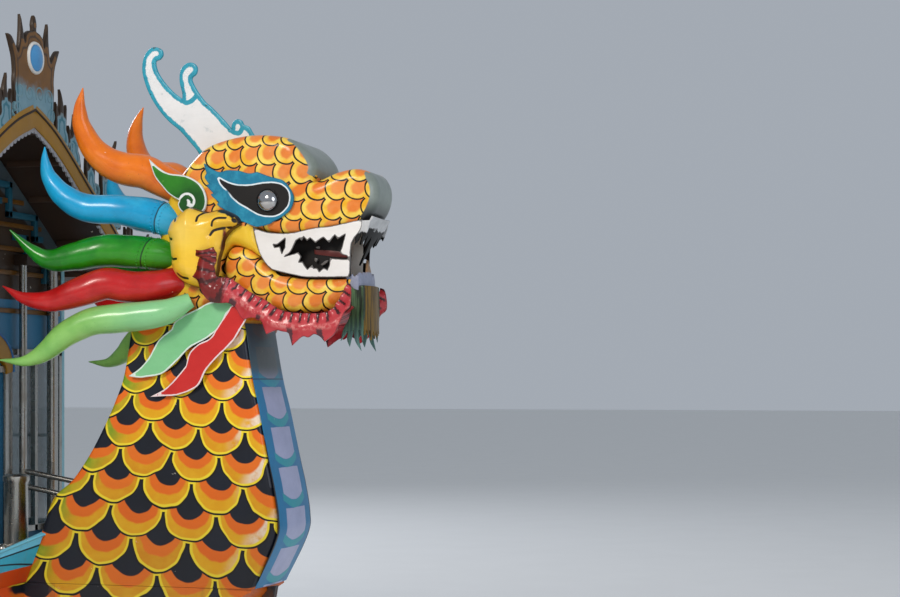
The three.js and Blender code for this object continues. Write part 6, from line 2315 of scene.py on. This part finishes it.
def dials():
    """Three plain dials with tick marks and a red hand each, on the console's sloping top."""
    x, y, _ = HELM
    axis = np.array([-math.sin(CONSOLE_TILT), 0, math.cos(CONSOLE_TILT)])
    shape = [(0, 0), (0.048, 0), (0.050, 0.010), (0.042, 0.014), (0.040, 0.006), (0, 0.006)]
    cases, hands, ticks = [], [], []
    for a in (-0.17, 0.0, 0.17):
        centre = np.array([x + 0.060 + 0.085, y + a, 1.640 + 0.085 * math.tan(CONSOLE_TILT) + 0.004])
        cases.append(turned(shape, centre, axis))
        for k in range(9):
            turn = math.radians(-130 + 32.5 * k)
            out = np.array([math.cos(turn) * axis[2], math.sin(turn), -math.cos(turn) * axis[0]])
            ticks.append(centre + axis * 0.0075 + out * 0.032)
        foot = centre + axis * 0.007
        hands.append(bar([foot, foot + np.array([0.0, 0.022, 0.004]) + axis * 0.001], 0.0016, 6))
    piece("helm_dials", *merge(*cases), RUBBER, slot="black_paint")
    piece("dial_marks", *studs(ticks, 0.0022), WHITE, slot="white_paint")
    piece("dial_hands", *merge(*hands), RED, slot="cabin_paint")


def throttle():
    x, y, z = HELM[0] + 0.235, HELM[1] - 0.19, 1.690
    lever = merge(box((x - 0.04, y - 0.022, z), (x + 0.05, y + 0.022, z + 0.05), 0.01),
                  bar([(x, y, z + 0.03), (x - 0.02, y, z + 0.14)], 0.006, 10),
                  ball((x - 0.022, y, z + 0.15), 0.018, 12, 16))
    piece("throttle", *lever, RUBBER, slot="black_paint")


def wheel():
    """The steel wheel: a rim, six spokes and a hub."""
    axis = np.array([math.cos(WHEEL_TILT), 0, -math.sin(WHEEL_TILT)])
    u, v = np.array([0.0, 1.0, 0.0]), np.array([math.sin(WHEEL_TILT), 0, math.cos(WHEEL_TILT)])
    turns = np.linspace(0, 2 * math.pi, 73)
    rim = [HELM + WHEEL["radius"] * (u * math.cos(t) + v * math.sin(t)) for t in turns]
    parts = [bar(rim, WHEEL["rim"], 12)]
    for k in range(WHEEL["spokes"]):
        t = math.pi * k / 3
        way = u * math.cos(t) + v * math.sin(t)
        parts.append(bar([HELM + way * 0.028 + axis * 0.006, HELM + way * 0.225], 0.008, 10))
    shape = [(0, -0.024), (0.018, -0.024), (0.032, -0.012), (0.034, 0.012), (0.022, 0.024), (0.016, 0.05),
             (0, 0.05)]
    parts.append(turned(shape, HELM, axis))
    piece("wheel_rim", *merge(*parts), STEEL, body="helm", slot="rail_steel", stands_for=["helm_wheel"])


def helm():
    carried("helm_console", LIGHT_BLUE)
    dials()
    throttle()
    wheel()


def hand_rails():
    """Porch of the fore deck: two posts to the roof, and rails from the door to a short post at the bow."""
    door, corner, bow = (4.650, -0.526, 0.023), (4.650, -0.895, 0.034), (4.985, -0.560, 0.019)
    heads = (1.520, 1.455)
    beam = {"foot": 2.735, "head": 2.800, "inner": 0.502, "outer": 1.02, "aft": 4.599, "fore": 4.690}
    parts = []
    for x, y, radius in (door, corner, bow):
        foot = along(x, 2) + 0.034
        head = heads[1] if x > 4.9 else beam["foot"] + 0.004
        parts.append(bar([(x, y, foot), (x, y, head)], radius, 20))
        flange = [(0, 0), (radius + 0.024, 0), (radius + 0.022, 0.008), (radius + 0.003, 0.014), (0, 0.014)]
        parts.append(turned(flange, (x, y, foot), (0, 0, 1), 24))
    parts.append(ball((*bow[:2], heads[1]), 0.024, 12, 16))
    for drop in (0, 0.09, 0.40):
        parts.append(bar([(*door[:2], heads[0] - drop), (*bow[:2], heads[1] - drop)], 0.016, 14))
    header = box((beam["aft"], -beam["outer"], beam["foot"]), (beam["fore"], -beam["inner"], beam["head"]),
                 0.006)
    piece("porch_beams", *both(header), DARK_WOOD, slot="fascia_paint")
    both_sides("deck_rail", *merge(*parts), STEEL, "rail_steel", "hand_rail")


for side, sign in (("starboard", -1), ("port", 1)):
    bench(side, sign)
helm()
hand_rails()

# Stern and drive


def engine_casing():
    lo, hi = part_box("engine_casing")
    top = hi[2]
    carried("engine_casing", painted("casing_grey", "66716a", "4b554f", 0.45, 0.9))
    lid = box((lo[0] + 0.05, -0.31, top - 0.003), (hi[0] - 0.05, 0.31, top + 0.012), 0.005)
    piece("casing_lid", *lid, painted("casing_lid_grey", "6f7a73", "525c56", 0.45, 0.9), slot="engine_paint")
    louvres = [row(9, (x, s * 0.323, 0.86), (0, 0, 0.032), (0.26, 0.012, 0.020), (s * 0.5, 0, 0))
               for s in SIDES for x in (-5.62, -5.18)]
    piece("casing_louvres", *merge(*louvres), IRON, slot="black_iron", sharp=30)
    hinges = [bar([(x - 0.05, 0.322, top - 0.06), (x + 0.05, 0.322, top - 0.06)], 0.009, 10) for x in (-5.7,
                                                                                                       -5.1)]
    catches = [box((x - 0.02, -0.332, 1.10), (x + 0.02, -0.318, 1.18)) for x in (-5.7, -5.1)]
    piece("casing_fittings", *merge(*hinges, *catches), STEEL, slot="rail_steel")


SCREW = {"x": -5.68, "z": -0.33, "root": 0.034, "tip": 0.190, "blades": 3, "blade_ahead": 0.020}


def blade_rings():
    """Sections of an upright blade, one above the other: twisted, and narrow at the root and the tip."""
    rings = []
    for r in np.linspace(SCREW["root"], SCREW["tip"], 15):
        s = (r - SCREW["root"]) / (SCREW["tip"] - SCREW["root"])
        chord = 0.075 + 0.085 * math.sin(math.pi * min(1.0, s * 0.86 + 0.10)) * (1 - s**6)
        chord = max(chord * (1 - s**7), 0.012)
        pitch = math.atan2(0.055, r) + 0.15
        section = []
        for t in np.linspace(0, 2 * math.pi, 20, endpoint=False):
            a, w = chord / 2 * math.cos(t), 0.006 * (1 - s * 0.6) * math.sin(t)
            section.append((a * math.sin(pitch) + w * math.cos(pitch),
                            a * math.cos(pitch) - w * math.sin(pitch), r))
        rings.append(section)
    return rings


def screw():
    """A propeller with twisted blades and a nut."""
    x, z = SCREW["x"], SCREW["z"]
    hub = [(0, -0.075), (0.018, -0.07), (0.03, -0.045), (0.040, -0.02), (0.042, 0.06), (0.036, 0.11),
           (0, 0.11)]
    parts = [turned(hub, (x, 0, z), (1, 0, 0))]
    places, faces = skin(blade_rings())
    along_x, aside, up = places.T
    for k in range(SCREW["blades"]):
        turn = 2 * math.pi * k / SCREW["blades"]
        y = aside * math.cos(turn) - up * math.sin(turn)
        h = aside * math.sin(turn) + up * math.cos(turn)
        parts.append((np.stack([along_x + x + SCREW["blade_ahead"], y, h + z], 1), faces))
    piece("screw_blades", *merge(*parts), bronze(), body="screw", slot="bronze", stands_for=["propeller"],
          sharp=50)


RUDDER_X = -6.33  # where its stock stands
RUDDER = [
    (-260, -60, 1), (110, -60, 1), (130, -150), (125, -300), (110, -460, 1), (-230, -460, 1), (-278, -330),
    (-280, -200),
]


def rudder_paint():
    """Red bottom paint with weed on it."""
    paint = Paint("rudder_red")
    weed = paint.noise(12.0, 6.0, 0.75).step(0.5, 0.1)
    colour = paint.mix(weed * 0.7, paint.tones("5a2318", "73301f", 4.0), "414a32")
    return paint.done(colour, 0.62, relief=paint.relief(paint.noise(30.0, 4.0), 0.3, 0.002))


def rudder():
    x, straps_at = RUDDER_X, (-0.14, -0.40)
    outline = [(p[0] + x * 1000, *p[1:]) for p in RUDDER]
    places, faces, _ = board(outline, 0.032, fore_and_aft(0.016), 0.010, 0.03, 0.02)
    stock = bar([(x, 0, -0.30), (x, 0, 0.108)], 0.030, 24)
    straps = [box((x - 0.16, -0.022, z), (x + 0.09, 0.022, z + 0.05)) for z in straps_at]
    bolts = [(x + a, s * 0.022, z + 0.025) for z in straps_at for a in (-0.13, -0.07, 0.06) for s in SIDES]
    piece("rudder_plate", *merge((places, faces), stock, *straps, studs(bolts, 0.009)), rudder_paint(),
          body="rudder_blade", slot="black_iron", stands_for=["rudder"])


# Dragon tail: a scaled S with spikes down its back and a plume of leaves

TAIL = [
    (-6.660, 0, 0.860, 0.150), (-6.700, 0, 1.130, 0.150), (-6.830, 0, 1.440, 0.132),
    (-6.905, 0, 1.760, 0.108), (-6.860, 0, 2.050, 0.084), (-6.830, 0, 2.290, 0.062),
    (-6.920, 0, 2.480, 0.042), (-7.060, 0, 2.570, 0.018),
]
PLUME = [  # the way a leaf points in degrees, its length, breadth and bend, and its colour
    (62, 0.300, 0.120, 0.7, "orange"), (92, 0.360, 0.130, 0.6, "blue"), (122, 0.360, 0.130, 0.5, "green"),
    (152, 0.320, 0.120, 0.5, "red"), (186, 0.260, 0.110, -0.5, "mint"), (222, 0.210, 0.090, -0.8, "orange"),
]


def leaf_outline(root, turn, length, breadth, bend):
    """A curved leaf in x and z, in millimetres, from its root to its tip."""
    t = np.linspace(0, 1, 15)
    half = breadth / 2 * np.interp(t, np.linspace(0, 1, 7), [0.5, 0.85, 1, 0.95, 0.75, 0.42, 0.02])
    way = math.radians(turn) + bend * (t - 0.5)
    line = np.stack([root[0] + length * t * np.cos(way), root[1] + length * t * np.sin(way)], 1)
    aside = np.stack([-np.sin(way), np.cos(way)], 1) * half[:, None]
    loop = np.vstack([line - aside, (line + aside)[::-1]]) * 1000
    return [(*p, 1) if i in (len(t) - 1, len(t)) else tuple(p) for i, p in enumerate(loop)]


def tail_scales():
    paint = Paint("tail_scales")
    across, along_tail = paint.attribute("around"), paint.attribute("run")
    x, z, lower, own = scale_spots(paint, across, along_tail, 0.11, 0.075, waver=0.04)
    reach = (x * x + z * z).root()
    gold = paint.mix(own, "f0b41c", "e59a14")
    orange = paint.mix(own, "ea7a14", "f0903a")
    colour = paint.mix(ring(x, z, 0.05).below(0.60, 0.10), gold, orange)
    colour = paint.mix(lower * reach.step(0.90, 0.02), colour, "120d0b")
    return enamel(paint, colour, 0.3, 0.5, 0.5)


def tail():
    rings, share, turn = tube(TAIL, 120, 40)
    places, faces = skin(rings)
    fields = {"run": np.repeat(2.1 - share * 2.1, len(turn)), "around": np.tile(turn, len(share)) * 0.14}
    piece("tail_body", places, faces, tail_scales(), slot="dragon_gold", stands_for=["dragon_tail"],
          fields=fields)
    line = curve(TAIL, np.linspace(0, 1, 201))
    ways = np.gradient(line, axis=0)
    spikes = []
    for i in range(7):
        t = 0.14 + (0.8 - 0.14) * i / 6
        k = round(t * 200)
        turn_here = math.degrees(math.atan2(ways[k, 2], ways[k, 0])) + 62
        shape = leaf_outline((line[k, 0], line[k, 2]), turn_here, 0.12 + 0.15 * (1 - t), 0.11, -0.5)
        spikes.append(board(shape, 0.020, fore_and_aft(0.010), 0.006, 0.02, 0.012)[:2])
    piece("tail_spikes", *merge(*spikes), DEEP_BLUE, slot="mane_blue")
    root = (TAIL[-2][0] - 0.060, TAIL[-2][2] + 0.030)
    for i, (way, length, breadth, bend, colour) in enumerate(PLUME):
        body, light, _ = MANE_COLOURS[colour]
        finish = edged(f"plume_{i}", body, light, "e6ebe6", 0.007)
        shape = leaf_outline(root, way, length, breadth, bend)
        places, faces, deep = board(shape, 0.024, fore_and_aft(0.012), 0.006, 0.015, 0.010)
        piece(f"tail_plume_{i}", places, faces, finish, slot="mane_" + colour, fields={"deep": deep})
    z = float(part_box("dragon_tail")[0][2])
    piece("tail_foot", *box((-6.79, -0.11, z), (-6.54, 0.11, z + 0.13), 0.02, 3), LIGHT_BLUE,
          slot="strake_paint")


engine_casing()
screw()
rudder()
tail()

# Floor, light and camera


def stage():
    paint = Paint("floor")
    tone = paint.noise(1.5, 4.0)
    colour = paint.mix(tone, "e4e4e2", "eaeae8")
    finish = paint.done(colour, 0.7, relief=paint.relief(paint.noise(40.0), 0.03, 0.001))
    mesh = bpy.data.meshes.new("floor")
    reach = 120.0
    corners = [(a * reach, b * reach, 0) for a, b in ((-1, -1), (1, -1), (1, 1), (-1, 1))]
    mesh.from_pydata(corners, [], [(0, 1, 2, 3)])
    mesh.materials.append(finish)
    floor = bpy.data.objects.new("floor", mesh)
    bpy.context.scene.collection.objects.link(floor)


def area_light(name, place, target, power, size, colour="ffffff"):
    lamp = bpy.data.lights.new(name, "AREA")
    lamp.energy = power
    lamp.shape = "DISK"
    lamp.size = size
    lamp.color = rgb(colour)
    made = bpy.data.objects.new(name, lamp)
    made.location = place
    made.rotation_euler = (Vector(target) - Vector(place)).to_track_quat("-Z", "Y").to_euler()
    bpy.context.scene.collection.objects.link(made)


def lighting():
    area_light("key", (4, -17, 12), (5.0, 0, 2.0), 1900, 5.0, "fff6ec")
    area_light("fill", (18, -8, 6), (4, 0, 1.5), 500, 8.0, "eef4ff")
    area_light("back", (-8, 14, 12), (0, 0, 1.5), 1500, 8.0, "f2f6ff")
    world = bpy.data.worlds.new("studio")
    world.use_nodes = True
    sky = world.node_tree.nodes["Background"]
    sky.inputs["Color"].default_value = (*rgb("dfe8f4"), 1)
    sky.inputs["Strength"].default_value = 0.50
    bpy.context.scene.world = world
    bpy.context.scene.view_settings.view_transform = "Standard"


def camera():
    lens = bpy.data.cameras.new("camera")
    lens.lens = LENS
    lens.sensor_width = 36.0
    lens.shift_y = VIEW_SHIFT
    lens.clip_end = 300
    made = bpy.data.objects.new("camera", lens)
    made.location = VIEW_PLACE
    made.rotation_euler = (math.radians(90), 0, math.radians(VIEW_TURN))
    bpy.context.scene.collection.objects.link(made)
    bpy.context.scene.camera = made


stage()
lighting()
camera()
